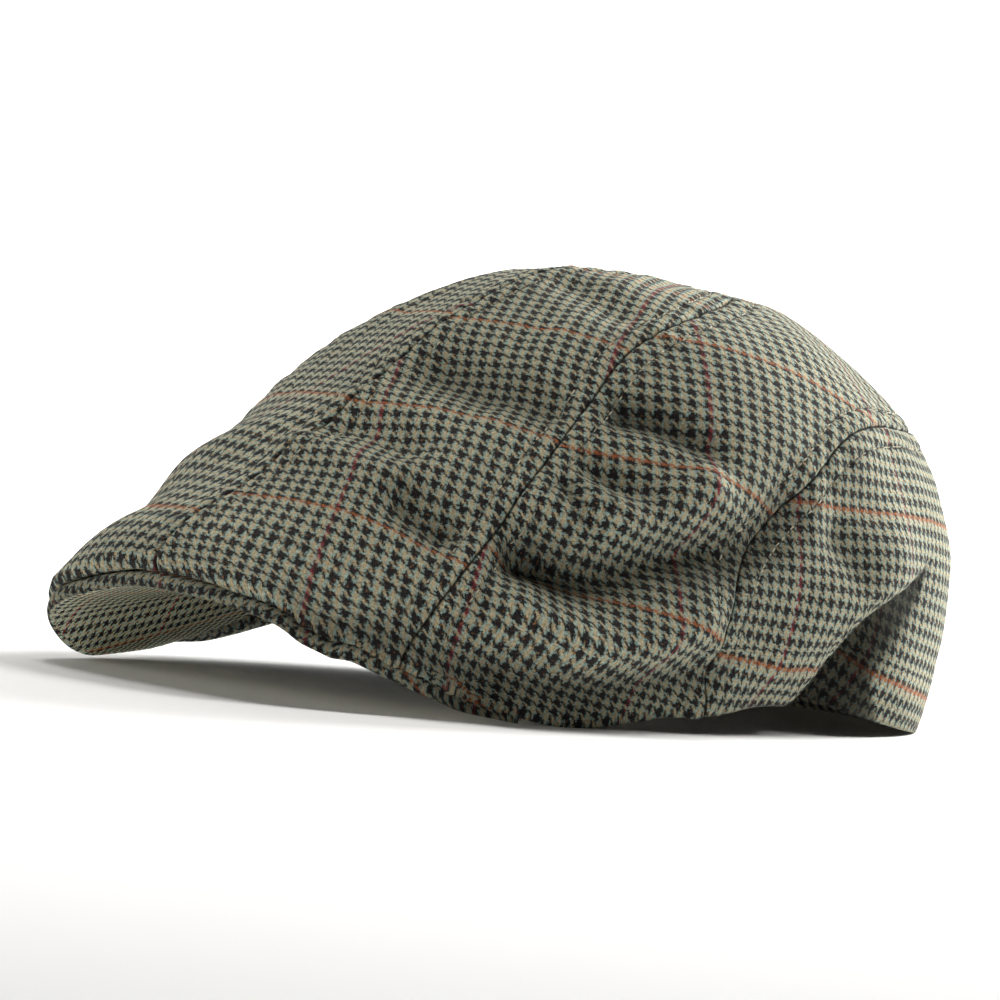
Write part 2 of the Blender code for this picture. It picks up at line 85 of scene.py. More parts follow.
class Fold(NamedTuple):
    """A fold over three places (turn, down), its depth, and its reach to either side.

    Depth, lean and sink are shares of CrownShape.fold_depth, and front and back of its
    fold_reach. lean pushes the cloth sideways over the fold, sink pushes it along
    SINK_WAY, fade is how much of its depth a fold loses toward its end, and shadow is the
    painted shade that darkens the cloth's colour inside it.
    """

    name: str
    start: tuple
    middle: tuple
    end: tuple
    depth: float
    front: float
    back: float
    lean: float = 0.0
    fade: float = 0.0
    shadow: float = 0.0
    sink: float = 0.0


class SeamPoint(NamedTuple):
    """Place on a seam: share of the way down the ribs, and of the half turn."""

    down: float
    turn: float


RIBS = (
    Rib(0.00, 0.004, 1.00, 0.87, 0.68, 0.470, 0.360, 0.295, 0.295, 0.01, 0.255, 0.255),
    Rib(0.42, 0.0155, 0.99, 0.85, 0.66, 0.450, 0.305, 0.265, 0.230, 0.01, 0.235, 0.200),
    Rib(0.62, 0.045, 0.99, 0.85, 0.66, 0.420, 0.235, 0.220, 0.170, 0.01, 0.190, 0.135),
    Rib(0.72, 0.112, 0.99, 0.89, 0.72, 0.460, 0.250, 0.165, 0.110, 0.01, 0.120, 0.055),
    Rib(0.82, 0.215, 0.98, 0.92, 0.80, 0.570, 0.340, 0.140, 0.130, 0.03, 0.040, 0.040),
    Rib(0.94, 0.320, 0.98, 0.93, 0.84, 0.650, 0.440, 0.200, 0.210, 0.07, 0.000, 0.050),
    Rib(1.00, 0.466, 0.97, 0.93, 0.86, 0.710, 0.520, 0.280, 0.280, 0.11, 0.045, 0.110),
    Rib(0.96, 0.617, 0.96, 0.92, 0.86, 0.730, 0.550, 0.310, 0.310, 0.13, 0.085, 0.085),
    Rib(0.90, 0.735, 0.95, 0.89, 0.82, 0.710, 0.550, 0.330, 0.330, 0.10, 0.055, 0.055),
    Rib(0.765, 0.842, 0.935, 0.87, 0.79, 0.670, 0.520, 0.340, 0.340, 0.06, 0.020, 0.020),
    Rib(0.57, 0.926, 0.92, 0.86, 0.78, 0.660, 0.510, 0.340, 0.340, 0.05, 0.002, 0.002),
    Rib(0.30, 0.980, 0.92, 0.86, 0.78, 0.660, 0.510, 0.340, 0.340, 0.05, 0.000, 0.000),
    Rib(0.00, 1.000, 0.92, 0.86, 0.78, 0.660, 0.510, 0.340, 0.340, 0.05, 0.000, 0.000),
)

SIDE_SEAM = (
    SeamPoint(0.00, 0.560),
    SeamPoint(0.10, 0.545),
    SeamPoint(0.20, 0.510),
    SeamPoint(0.32, 0.455),
    SeamPoint(0.44, 0.390),
    SeamPoint(0.56, 0.358),
    SeamPoint(0.68, 0.334),
    SeamPoint(0.80, 0.306),
    SeamPoint(0.91, 0.280),
    SeamPoint(1.00, 0.258),
)

BACK_SEAM = (
    SeamPoint(0.440, 1.000),
    SeamPoint(0.440, 0.890),
    SeamPoint(0.445, 0.790),
    SeamPoint(0.465, 0.710),
    SeamPoint(0.50, 0.650),
    SeamPoint(0.55, 0.607),
    SeamPoint(0.62, 0.575),
    SeamPoint(0.70, 0.543),
    SeamPoint(0.79, 0.515),
    SeamPoint(0.89, 0.502),
    SeamPoint(1.00, 0.497),
)

# The way that a fold sinks: to the cap's right and back, and a little down.
SINK_WAY = (-0.7587, 0.6500, -0.0436)

FOLDS = (
    Fold("deep fold behind the ear", (0.577, 1), (0.624, 0.842), (0.718, 0.72),
         -0.2, 0.07, 1.15, fade=0.8, shadow=0.98, sink=1.6),
    Fold("lip before it", (0.572, 1), (0.619, 0.842), (0.713, 0.72),
         0.12, 0.4, 0.1, lean=0.24, fade=0.6),
    Fold("swell before it", (0.555, 0.92), (0.595, 0.825), (0.665, 0.73), 0.3, 0.5, 0.45),
    Fold("crescent swell", (0.36, 0.725), (0.42, 0.72), (0.48, 0.67), 0.5, 0.36, 0.36),
    Fold("crescent valley", (0.348, 0.798), (0.415, 0.798), (0.488, 0.752),
         -1.45, 0.4, 0.4, fade=0.45, shadow=0.62),
    Fold("swell of the side", (0.35, 0.88), (0.425, 0.887), (0.485, 0.858),
         1.05, 0.42, 0.42, fade=0.5),
    Fold("crescent's end", (0.47, 0.785), (0.505, 0.772), (0.54, 0.735),
         -0.15, 0.36, 0.36, shadow=0.65),
    Fold("crease over the front rim", (0.15, 0.992), (0.257, 0.975), (0.345, 0.955),
         -0.22, 0.26, 0.26, shadow=0.45),
    Fold("crease over the rim", (0.345, 0.955), (0.42, 0.948), (0.5, 0.935),
         -0.4, 0.28, 0.28, shadow=0.5),
    Fold("belly turned in at the rim", (0.31, 1.03), (0.385, 1.04), (0.46, 1.03), -0.7, 0.45, 0.45),
    Fold("front edge rolled under", (-0.25, 1.03), (0.02, 1.03), (0.18, 1),
         -0.4, 0.26, 0.26, shadow=0.62),
    Fold("slanting dent", (0.4, 0.556), (0.435, 0.562), (0.478, 0.6),
         -0.66, 0.34, 0.34, fade=0.3, shadow=0.8),
    Fold("upper crease", (0.385, 0.66), (0.405, 0.67), (0.44, 0.69), -0.4, 0.24, 0.24, shadow=0.15),
    Fold("lower crease", (0.366, 0.7), (0.386, 0.725), (0.406, 0.75), -0.4, 0.2, 0.2, shadow=0.15),
    Fold("ridge between them", (0.374, 0.68), (0.398, 0.7), (0.425, 0.73), 0.25, 0.18, 0.18),
    Fold("front left dent", (0.165, 0.765), (0.205, 0.785), (0.245, 0.8),
         -0.6, 0.36, 0.36, shadow=0.42),
    Fold("front middle dent", (0.02, 0.67), (0.055, 0.67), (0.1, 0.68), -0.42, 0.36, 0.36),
    Fold("ridge under it", (0, 0.73), (0.06, 0.735), (0.12, 0.74), 0.2, 0.3, 0.3),
    Fold("upper front dip", (0.05, 0.535), (0.18, 0.55), (0.3, 0.575),
         -0.55, 0.46, 0.46, shadow=0.38),
    Fold("top left dip", (0.1, 0.3), (0.25, 0.33), (0.33, 0.36), -0.25, 0.36, 0.36),
    Fold("dip over the ear", (0.55, 0.69), (0.53, 0.725), (0.508, 0.755),
         -0.55, 0.42, 0.42, shadow=0.5),
    Fold("dip by the back seam", (0.6, 0.72), (0.608, 0.735), (0.616, 0.75),
         -0.3, 0.36, 0.36, shadow=0.22),
    Fold("back left dip", (0.6, 0.66), (0.64, 0.64), (0.69, 0.56), -0.24, 0.5, 0.5),
    Fold("front right swell", (-0.06, 0.7), (-0.12, 0.72), (-0.18, 0.74), 0.22, 0.6, 0.6),
    Fold("front right dent", (-0.1, 0.84), (-0.16, 0.85), (-0.22, 0.86), -0.2, 0.5, 0.5),
    Fold("right crescent valley", (-0.34, 0.8), (-0.42, 0.82), (-0.51, 0.75), -0.36, 0.5, 0.5),
    Fold("swell of the right side", (-0.385, 0.91), (-0.45, 0.9), (-0.51, 0.88), 0.3, 0.5, 0.6),
    Fold("right slanting dent", (-0.39, 0.58), (-0.44, 0.6), (-0.49, 0.61), -0.28, 0.4, 0.4),
    Fold("fold behind the right ear", (-0.61, 1.04), (-0.66, 0.88), (-0.73, 0.78), -0.8, 0.4, 0.9),
    Fold("dip at the back", (-0.9, 0.8), (-1, 0.78), (-1.1, 0.8), -0.16, 0.7, 0.7),
)


def hermite(start: Grid, end: Grid, slope_start: Grid, slope_end: Grid, share: Grid) -> Grid:
    """Cubic from start to end with the slopes given, at a share of the way."""
    square = share * share
    cube = square * share
    return (
        (2 * cube - 3 * square + 1) * start
        + (cube - 2 * square + share) * slope_start
        + (3 * square - 2 * cube) * end
        + (cube - square) * slope_end
    )


def smooth(values: Grid, place: Grid) -> Grid:
    """Smooth curve through rows of values.

    Args:
        values: One row of numbers for each knot.
        place: Places to read, from 0 at the first knot to the last knot's number.

    Returns:
        One row of numbers for each place.
    """
    last = len(values) - 1
    place = np.clip(place, 0.0, last)
    index = np.minimum(place.astype(int), last - 1)
    share = (place - index)[:, None]
    a, b, c, d = (values[np.clip(index + step, 0, last)] for step in (-1, 0, 1, 2))
    return hermite(b, c, (c - a) / 2.0, (d - b) / 2.0, share)


def ramp(value: Grid, low: float, high: float) -> Grid:
    """Smooth step from 0 at low to 1 at high."""
    share = np.clip((value - low) / (high - low), 0.0, 1.0)
    return share * share * (3.0 - 2.0 * share)


def unit(vectors: Grid) -> Grid:
    """Vectors of length one along the last axis."""
    return vectors / np.maximum(np.linalg.norm(vectors, axis=-1, keepdims=True), TINY**2)


def to_disc(turn: Grid, down: Grid) -> Grid:
    """Places of the shell on a flat disc, with the seams' meeting place in the middle."""
    angle = np.pi * turn
    return np.stack([down * np.sin(angle), -down * np.cos(angle)], axis=-1)


def from_disc(points: Grid) -> tuple[Grid, Grid]:
    """Turn and down of points of the disc."""
    x, y = points[..., 0], points[..., 1]
    return np.arctan2(x, -y) / np.pi, np.hypot(x, y)


def run_lengths(points: Grid) -> Grid:
    """Length of a line of points from its start to each of them."""
    steps = np.linalg.norm(np.diff(points, axis=0), axis=-1)
    return np.concatenate([[0.0], np.cumsum(steps)])


def nearest(points: Grid, line: Grid, batch: int = 4000) -> tuple[Grid, Grid, Grid]:
    """Nearest places on a line.

    Args:
        points: Points (n, 3).
        line: Points that the line runs through.
        batch: How many points are looked at together, to save memory.

    Returns:
        Ways from the line to the points, numbers of the nearest segments, and shares of
        the way along these.
    """
    run = np.diff(line, axis=0)
    square = np.maximum(np.sum(run * run, axis=1), TINY**2)
    parts = []
    for begin in range(0, len(points), batch):
        away = points[begin : begin + batch, None, :] - line[None, :-1, :]
        share = np.clip(np.einsum("nsk,sk->ns", away, run) / square, 0.0, 1.0)
        away -= share[..., None] * run[None]
        best = np.argmin(np.linalg.norm(away, axis=-1), axis=1)
        each = np.arange(len(best))
        parts.append((away[each, best], best, share[each, best]))
    return tuple(np.concatenate(column) for column in zip(*parts))


@dataclass
class CrownShape:
    """The crown's surface, as places (turn, down) mapped to points.

    turn runs from 0 at the front to 1 at the back, positive on the left. down runs from
    0 where the seams meet on top to 1 at the rim, and beyond it along the hem.
    """

    length: float = 0.277
    half_width: float = 0.100
    height: float = 0.1275
    apex_along: float = 0.729
    apex_up: float = 0.965
    apex_tilt: float = 0.15
    stations: tuple = (0.30, 0.50, 0.66, 0.84, 0.96)
    hem_turn: float = 0.0060
    hem_depth: float = 0.0080
    hem_lean: float = 0.1
    hem_flat_to: float = 0.30
    hem_up_from: float = 0.42
    peak_slope: float = 0.10
    peak_curl: float = 0.30
    peak_curl_from: float = 0.06
    peak_curl_to: float = 0.27
    fold_depth: float = 0.010
    fold_reach: float = 0.020
    fold_end: float = 3.5
    fold_samples: int = 17
    fade_power: float = 1.5
    fade_reach: float = 0.5
    # Width of the painted shade behind a sinking fold, and where it starts and stops.
    shadow_width: float = 0.064
    shadow_least: float = 0.005
    shadow_start: tuple = (-0.001, 0.002)
    shadow_stop: tuple = (0.5, 1.1)
    wall_end: float = 0.90
    top_skip: float = 0.02
    nudge: float = 0.004
    ribs: Grid = field(init=False)
    fold_lines: list = field(init=False)

    def __post_init__(self) -> None:
        """Lay out the ribs' table and the folds' lines."""
        first = RIBS[1]._replace(side=-RIBS[1].side)
        last = RIBS[-2]._replace(side=-RIBS[-2].side)
        self.ribs = np.array((first,) + RIBS + (last,))
        self.fold_lines = [self.fold_line(fold) for fold in FOLDS]

    @property
    def apex_y(self) -> float:
        """Place along Y where the seams meet."""
        return (self.apex_along - 0.5) * self.length

    @property
    def rim_knot(self) -> int:
        """Number of a rib's knot that lies on the rim."""
        return len(self.stations) + 2

    def fold_line(self, fold: Fold) -> Grid:
        """Points that a fold runs through on the plain shell."""
        places = np.array([fold.start, fold.middle, fold.end])
        places = smooth(places, np.linspace(0.0, 2.0, self.fold_samples))
        return self.plain(places[:, 0], places[:, 1])

    def rib_paths(self, turn: Grid) -> tuple[Grid, Grid]:
        """Directions of ribs and their knots.

        Args:
            turn: Places round the crown.

        Returns:
            Directions on the plan (n, 2), and knots (n, knots, 2) as out and up.
        """
        turn = np.where(np.abs(turn) > 1.0, turn - np.copysign(2.0, turn), turn)
        row = Rib(*smooth(self.ribs, 1.0 + np.abs(turn) * (len(RIBS) - 1)).T)
        wide_x = row.side * self.half_width
        wide_y = (row.along - 0.5) * self.length
        reach = np.hypot(wide_x, wide_y - self.apex_y)
        ahead = np.stack([np.copysign(wide_x, turn), wide_y - self.apex_y], axis=-1)
        ahead /= reach[:, None]
        right = turn < 0.0
        wide_up = np.where(right, row.wide_r, row.wide) * self.height
        rim_up = np.where(right, row.rim_r, row.rim) * self.height
        outs = [np.zeros_like(reach)] + [share * reach for share in self.stations] + [reach]
        ups = [np.full_like(reach, self.apex_up * self.height)]
        ups += [up * self.height for up in (row.up_1, row.up_2, row.up_3, row.up_4, row.up_5)]
        stand = ramp(np.abs(turn), self.hem_flat_to, self.hem_up_from)
        rim_out = reach - row.tuck * self.half_width
        turned_out = rim_out - self.hem_turn
        slope = self.slope_at(turn)
        turned_up = rim_up + self.hem_turn * slope
        inward = 1.0 - (1.0 - self.hem_lean) * stand
        rise = slope + (1.0 - slope) * stand
        outs += [rim_out, turned_out, turned_out - self.hem_depth * inward]
        ups += [wide_up, rim_up, turned_up, turned_up + self.hem_depth * rise]
        return ahead, np.stack([np.stack(outs, axis=-1), np.stack(ups, axis=-1)], axis=-1)

    def slope_at(self, turn: Grid) -> Grid:
        """How steeply the hem and the peak rise inward."""
        curled = ramp(np.abs(turn), self.peak_curl_from, self.peak_curl_to)
        return self.peak_slope + self.peak_curl * curled

    def marks(self, path: Grid) -> Grid:
        """Length of each rib's path up to its knots."""
        steps = np.linalg.norm(np.diff(path, axis=1), axis=-1)
        return np.concatenate([np.zeros((len(path), 1)), np.cumsum(steps, axis=1)], axis=1)

    def hem_end(self, turn: Grid) -> Grid:
        """How far down the ribs the hem's edge lies."""
        marks = self.marks(self.rib_paths(turn)[1])
        return marks[:, -1] / marks[:, self.rim_knot]

    def plain(self, turn: Grid, down: Grid) -> Grid:
        """Points of the shell without folds."""
        ahead, path = self.rib_paths(turn)
        marks = self.marks(path)
        goal = np.minimum(down * marks[:, self.rim_knot], marks[:, -1])
        knots = path.shape[1]
        index = np.sum(goal[:, None] > marks[:, 1:-1], axis=1)
        each = np.arange(len(turn))
        step = marks[each, index + 1] - marks[each, index]
        slopes = []
        for knot in (index, index + 1):
            low = np.maximum(knot - 1, 0)
            high = np.minimum(knot + 1, knots - 1)
            span = (marks[each, high] - marks[each, low])[:, None]
            slope = (path[each, high] - path[each, low]) / span
            top = np.stack([np.ones(len(turn)), -self.apex_tilt * ahead[:, 1]], axis=-1)
            slopes.append(np.where((knot == 0)[:, None], top, slope) * step[:, None])
        share = ((goal - marks[each, index]) / step)[:, None]
        place = hermite(path[each, index], path[each, index + 1], slopes[0], slopes[1], share)
        flat = ahead * place[:, :1]
        return np.stack([flat[:, 0], self.apex_y + flat[:, 1], place[:, 1]], axis=-1)

    def wall_route(self, start: float, end: float, samples: int) -> Grid:
        """Disc points along the lower end of the wall, between two turns."""
        return to_disc(np.linspace(start, end, samples), np.full(samples, self.wall_end))

    def normals(self, turn: Grid, down: Grid) -> Grid:
        """Outward directions of the shell without folds."""
        low = np.maximum(down, self.top_skip)
        across = self.plain(turn + self.nudge, low) - self.plain(turn - self.nudge, low)
        along = self.plain(turn, low + self.nudge) - self.plain(turn, low - self.nudge)
        return unit(np.cross(along, across))

    def folded(self, turn: Grid, down: Grid) -> Grid:
        """Points of the folded cloth, at places of any shape."""
        return self.fold_cloth(turn, down)[0]

    def fold_cloth(self, turn: Grid, down: Grid) -> tuple[Grid, Grid]:
        """Lay every fold into the plain shell.

        Args:
            turn: Places round the crown, of any shape.
            down: Places down it, of the same shape.

        Returns:
            Points, with one more axis than the places, and the painted shade that the folds give
            them.
        """
        shape = turn.shape
        turn = turn.ravel()
        down = down.ravel()
        normal = self.normals(turn, np.minimum(down, self.wall_end))
        base = self.plain(turn, np.minimum(down, 1.0))
        shift = np.zeros_like(base)
        dark = np.zeros(len(base))
        for fold, line in zip(FOLDS, self.fold_lines):
            self.add_fold(fold, line, base, normal, shift, dark)
        points = self.plain(turn, down) + shift
        points[:, 2] = np.maximum(points[:, 2], 0.0)
        return points.reshape(shape + (3,)), dark.reshape(shape)

    def add_fold(
        self, fold: Fold, line: Grid, base: Grid, normal: Grid, shift: Grid, dark: Grid
    ) -> None:
        """Add one fold to the points' shift and painted shade.

        Args:
            fold: The fold.
            line: Points that it runs through.
            base: Points of the plain shell.
            normal: The shell's directions there.
            shift: How far each point moves, to which the fold is added.
            dark: Painted shade of each point, which the fold may raise.
        """
        margin = self.fold_end * max(fold.front, fold.back) * self.fold_reach
        inside = (base > line.min(axis=0) - margin) & (base < line.max(axis=0) + margin)
        near = np.nonzero(np.all(inside, axis=1))[0]
        if not len(near):
            return
        away, best, share = nearest(base[near], line)
        distance = np.linalg.norm(away, axis=-1)
        run = np.diff(line, axis=0)
        across = unit(np.cross(run[best], normal[near])) * math.copysign(1.0, fold.start[0])
        behind = np.sum(across * away, axis=1)
        to_back = 0.5 + 0.5 * behind / np.maximum(distance, TINY)
        gone = (best + share) / len(run)
        reach = (fold.front + (fold.back - fold.front) * to_back) * self.fold_reach
        reach *= 1.0 - self.fade_reach * fold.fade * gone
        height = np.exp(-((distance / reach) ** 2)) * (1.0 - fold.fade * gone**self.fade_power)
        push = fold.depth * normal[near] + fold.lean * across + fold.sink * np.array(SINK_WAY)
        shift[near] += self.fold_depth * height[:, None] * push
        # Painted shade: a sinking fold darkens a band behind its line that narrows toward its end;
        # other folds darken by their height.
        if fold.sink:
            width = self.shadow_width * (1.0 - gone) + self.shadow_least
            height = ramp(behind, *self.shadow_start)
            height *= 1.0 - ramp(distance / width, *self.shadow_stop)
        dark[near] = np.maximum(dark[near], fold.shadow * height)


@dataclass
class Seam:
    """A seam's route over the crown, from its table of places."""

    shape: CrownShape
    table: tuple
    samples: int = 400
    per_place: int = 16

    def turn_at(self, down: float | Grid) -> float | Grid:
        """Place round the crown at a share of the way down, near the rim."""
        last = len(self.table) - 1.0
        places = smooth(np.array(self.table), np.linspace(0.0, last, self.samples))
        return np.interp(down, places[:, 0], places[:, 1])

    def half_route(self) -> Grid:
        """Disc points from the top down to where the wall ends, on the left."""
        table = np.array(self.table)
        count = self.per_place * len(table)
        places = smooth(table, np.linspace(0.0, len(table) - 1.0, count))
        end = self.shape.wall_end
        places = places[places[:, 0] < end - self.shape.nudge]
        places = np.vstack([places, [end, self.turn_at(end)]])
        return to_disc(places[:, 1], places[:, 0])

    def route(self) -> Grid:
        """Disc points from the rim on the left over the crown to the rim on the right."""
        half = self.half_route()
        return np.vstack([half[::-1], (half * (-1.0, 1.0))[1:]])


def along_route(shape: CrownShape, route: Grid, shares: Grid, finer: int = 8) -> Grid:
    """Points of a route at shares of its length over the shell.

    Args:
        shape: The crown.
        route: Disc points of the route.
        shares: Where to read it, from 0 to 1.
        finer: How many times more points its length is measured by.

    Returns:
        Disc points, one for each share.
    """
    numbers = np.arange(len(route))
    spread = np.linspace(0.0, len(route) - 1.0, finer * len(route))
    dense = np.stack([np.interp(spread, numbers, route[:, k]) for k in (0, 1)], axis=-1)
    marks = run_lengths(shape.plain(*from_disc(dense)))
    goal = np.asarray(shares) * marks[-1]
    return np.stack([np.interp(goal, marks, dense[:, k]) for k in (0, 1)], axis=-1)


def route_length(shape: CrownShape, route: Grid) -> float:
    """Length of a route of disc points over the shell."""
    return float(run_lengths(shape.plain(*from_disc(route)))[-1])


def fill_patch(top: Grid, bottom: Grid, left: Grid, right: Grid, p: Grid, q: Grid) -> Grid:
    """Rows of disc points that fill the space inside four routes.

    Args:
        top: Route of the first row.
        bottom: Route of the last row.
        left: Route of the rows' first points.
        right: Route of their last points.
        p: Shares of the columns.
        q: Shares of the rows.

    Returns:
        Points (rows, columns, 2).
    """
    p = p[None, :, None]
    q = q[:, None, None]
    rows = top[None] * (1 - q) + bottom[None] * q
    columns = left[:, None] * (1 - p) + right[:, None] * p
    upper = top[0] * (1 - p) + top[-1] * p
    lower = bottom[0] * (1 - p) + bottom[-1] * p
    return rows + columns - (upper * (1 - q) + lower * q)


def seam_spaced(length: float, step: float, start: bool, end: bool) -> Grid:
    """Shares of a length, closer together near the ends that are seams.

    The points are closest on the seam's rolled edge, and a little closer up to the row of
    stitches.

    Args:
        length: The length, in metres.
        step: Usual distance between two points.
        start: Whether the start is a seam.
        end: Whether the end is one.

    Returns:
        Rising shares from 0 to 1.
    """
    samples = 2000
    closest, edge = 0.35 * MM, 1.1 * MM
    denser, denser_to, usual_from = 0.7, 7.0 * MM, 9.0 * MM
    places = np.linspace(0.0, length, samples)
    density = np.full(samples, 1.0 / step)
    for wanted, distance in ((start, places), (end, length - places)):
        if wanted:
            density += (1.0 / closest) * np.exp(-distance / edge)
            density += (denser / step) * (1.0 - ramp(distance, denser_to, usual_from))
    middles = (density[1:] + density[:-1]) / 2.0 * np.diff(places)
    total = np.concatenate([[0.0], np.cumsum(middles)])
    count = max(2, int(round(total[-1])))
    return np.interp(np.linspace(0.0, total[-1], count + 1), total, places) / length


class Seams:
    """Seam lines on the folded crown, and distances from them."""

    samples: int = 320
    back_samples: int = 300
    rim_places: Grid = np.linspace(0.91, 1.0, 12)
    hem_places: Grid = np.linspace(1.01, 1.06, 10)

    def __init__(self, shape: CrownShape) -> None:
        """Draw every seam as a close line of points."""
        self.shape = shape
        self.side = Seam(shape, SIDE_SEAM)
        self.back = Seam(shape, BACK_SEAM)
        down = np.concatenate([np.linspace(0.0, 1.0, self.samples), self.hem_places])
        self.lines = {"centre": shape.folded(np.zeros_like(down), down)}
        turn, level = self.half(self.side, self.samples)
        for side in Side:
            self.lines[f"side_{side.name.lower()}"] = shape.folded(side.value * turn, level)
        turn, level = self.half(self.back, self.back_samples)
        left = shape.folded(turn, level)
        right = shape.folded(-turn, level)
        self.lines["back"] = np.vstack([left[::-1], right[1:]])

    def half(self, seam: Seam, samples: int) -> tuple[Grid, Grid]:
        """Places of a seam's left half, from the top over the rim and along the hem."""
        route = along_route(self.shape, seam.half_route(), np.linspace(0.0, 1.0, samples))
        turn, down = from_disc(route)
        more = np.concatenate([self.rim_places, self.hem_places])
        turn = np.concatenate([turn, seam.turn_at(np.minimum(more, 1.0))])
        return turn, np.concatenate([down, more])

    def measure(self, name: str, points: Grid) -> tuple[Grid, Grid]:
        """Distance of points from a seam, and how far along it each lies.

        Args:
            name: The seam.
            points: Points (n, 3).

        Returns:
            Distances, and lengths along the seam.
        """
        marks = run_lengths(self.lines[name])
        away, best, share = nearest(points, self.lines[name])
        along = marks[best] + share * np.diff(marks)[best]
        return np.linalg.norm(away, axis=-1), along


def ripple(
    along: Grid, seed: int, wave: float, waves: int = 7, spread: tuple = (0.6, 1.7)
) -> Grid:
    """Uneven wave of height about one along a line.

    Args:
        along: Lengths along the line.
        seed: Picks the wave's course.
        wave: Usual length of one wave.
        waves: How many waves are laid over each other.
        spread: Least and greatest length of a wave, as shares of the usual one.

    Returns:
        The wave's height at each length.
    """
    draw = np.random.default_rng(seed)
    total = np.zeros_like(along)
    for _ in range(waves):
        length = wave * draw.uniform(*spread)
        total += np.sin(2 * np.pi * (along / length + draw.uniform()))
    return total / math.sqrt(waves)


def deselect_all() -> None:
    """Leave object mode with nothing selected."""
    if bpy.context.object and bpy.context.object.mode != "OBJECT":
        bpy.ops.object.mode_set(mode="OBJECT")
    bpy.ops.object.select_all(action="DESELECT")


def select_only(piece: bpy.types.Object) -> None:
    """Make one object the only selected one, and the active one."""
    deselect_all()
    bpy.context.view_layer.objects.active = piece
    piece.select_set(True)


def edit_all() -> None:
    """Go to edit mode with the whole mesh selected."""
    bpy.ops.object.mode_set(mode="EDIT")
    bpy.ops.mesh.select_all(action="SELECT")


def read(items: bpy.types.bpy_prop_collection, name: str, width: int, kind: type = float) -> Grid:
    """A value of each of a mesh's items, as rows of some width."""
    found = np.empty(len(items) * width, dtype=kind)
    items.foreach_get(name, found)
    return found.reshape(-1, width)


def vertex_normals(piece: bpy.types.Object) -> Grid:
    """Directions of a mesh's vertices."""
    return read(piece.data.vertex_normals, "vector", 3)


def corners(piece: bpy.types.Object) -> Grid:
    """Number of the vertex at each corner of a mesh's faces."""
    return read(piece.data.loops, "vertex_index", 1, int)[:, 0]


def set_points(piece: bpy.types.Object, points: Grid) -> None:
    """Move a mesh's vertices to new points."""
    piece.data.vertices.foreach_set("co", np.ascontiguousarray(points, dtype=float).ravel())
    piece.data.update()


def set_uvs(piece: bpy.types.Object, places: Grid) -> None:
    """Write the cloth's flat places, in metres, as the UV map of a piece's corners."""
    layer = piece.data.uv_layers.active or piece.data.uv_layers.new()
    layer.name = "cloth"
    layer.data.foreach_set("uv", places.reshape(-1, 2)[corners(piece)].ravel())


def set_painted_shade(piece: bpy.types.Object, shade: Grid) -> None:
    """Write each vertex's painted shade into the mesh's seam attribute. Below zero it is painted
    light.
    """
    layer = piece.data.attributes.new("seam", "FLOAT", "POINT")
    layer.data.foreach_set("value", shade.ravel())


def set_material(piece: bpy.types.Object, material: bpy.types.Material) -> None:
    """Give a piece its one material."""
    piece.data.materials.clear()
    piece.data.materials.append(material)


def cloth_grid(name: str, points: Grid) -> bpy.types.Object:
    """Grid of cloth laid through rows of points.

    Args:
        name: The piece's name.
        points: Points (rows, columns, 3).

    Returns:
        The object, with its vertices in the points' order.
    """
    rows, columns = points.shape[:2]
    deselect_all()
    bpy.ops.mesh.primitive_grid_add(x_subdivisions=columns - 1, y_subdivisions=rows - 1, size=2.0)
    piece = bpy.context.object
    piece.name = name
    piece.data.name = name
    flat = read(piece.data.vertices, "co", 3)
    order = np.lexsort((flat[:, 0].round(6), flat[:, 1].round(6)))
    if not np.array_equal(order, np.arange(len(order))):
        raise RuntimeError(f"{name}: the grid's points come in another order")
    set_points(piece, points)
    return piece


def picks(count: int, most: int) -> Grid:
    """Numbers spread evenly from 0 to count - 1, no more than so many."""
    return np.unique(np.linspace(0, count - 1, min(count, most)).round().astype(int))


def edges_length(grid: Grid) -> float:
    """Length of all the edges of a grid of points."""
    return sum(np.linalg.norm(np.diff(grid, axis=axis), axis=-1).sum() for axis in (0, 1))


def flat_cloth(points: Grid, most_rows: int = 36, most_columns: int = 70) -> Grid:
    """Flat places, in metres, of a grid of cloth laid out with the least stretch.

    Args:
        points: Points (rows, columns, 3).
        most_rows: How many rows are laid out. The others are read between them.
        most_columns: How many columns are.

    Returns:
        Flat places (rows, columns, 2), not yet turned to the cloth's threads.
    """
    rows, columns = points.shape[:2]
    row_picks = picks(rows, most_rows)
    column_picks = picks(columns, most_columns)
    coarse = points[row_picks][:, column_picks]
    piece = cloth_grid("pattern_piece", coarse)
    edit_all()
    bpy.ops.uv.unwrap(method="MINIMUM_STRETCH", iterations=40, no_flip=True, margin=0.0)
    bpy.ops.object.mode_set(mode="OBJECT")
    places = np.empty((len(row_picks) * len(column_picks), 2))
    places[corners(piece)] = read(piece.data.uv_layers.active.data, "uv", 2)
    places = places.reshape(len(row_picks), len(column_picks), 2)
    bpy.data.objects.remove(piece, do_unlink=True)
    places *= edges_length(coarse) / edges_length(places)
    column_place = np.interp(np.arange(columns), column_picks, np.arange(len(column_picks)))
    full = np.stack([smooth(row, column_place) for row in places])
    row_place = np.interp(np.arange(rows), row_picks, np.arange(len(row_picks)))
    return np.stack([smooth(full[:, column], row_place) for column in range(columns)], axis=1)


@dataclass(frozen=True)
class Check:
    """Sizes of the woven check."""

    repeat: float = 0.0044
    threads: int = 8
    twill: int = 4
    line_threads: int = 2
    crimson_every: int = 13
    rust_every: int = 12


CHECK = Check()


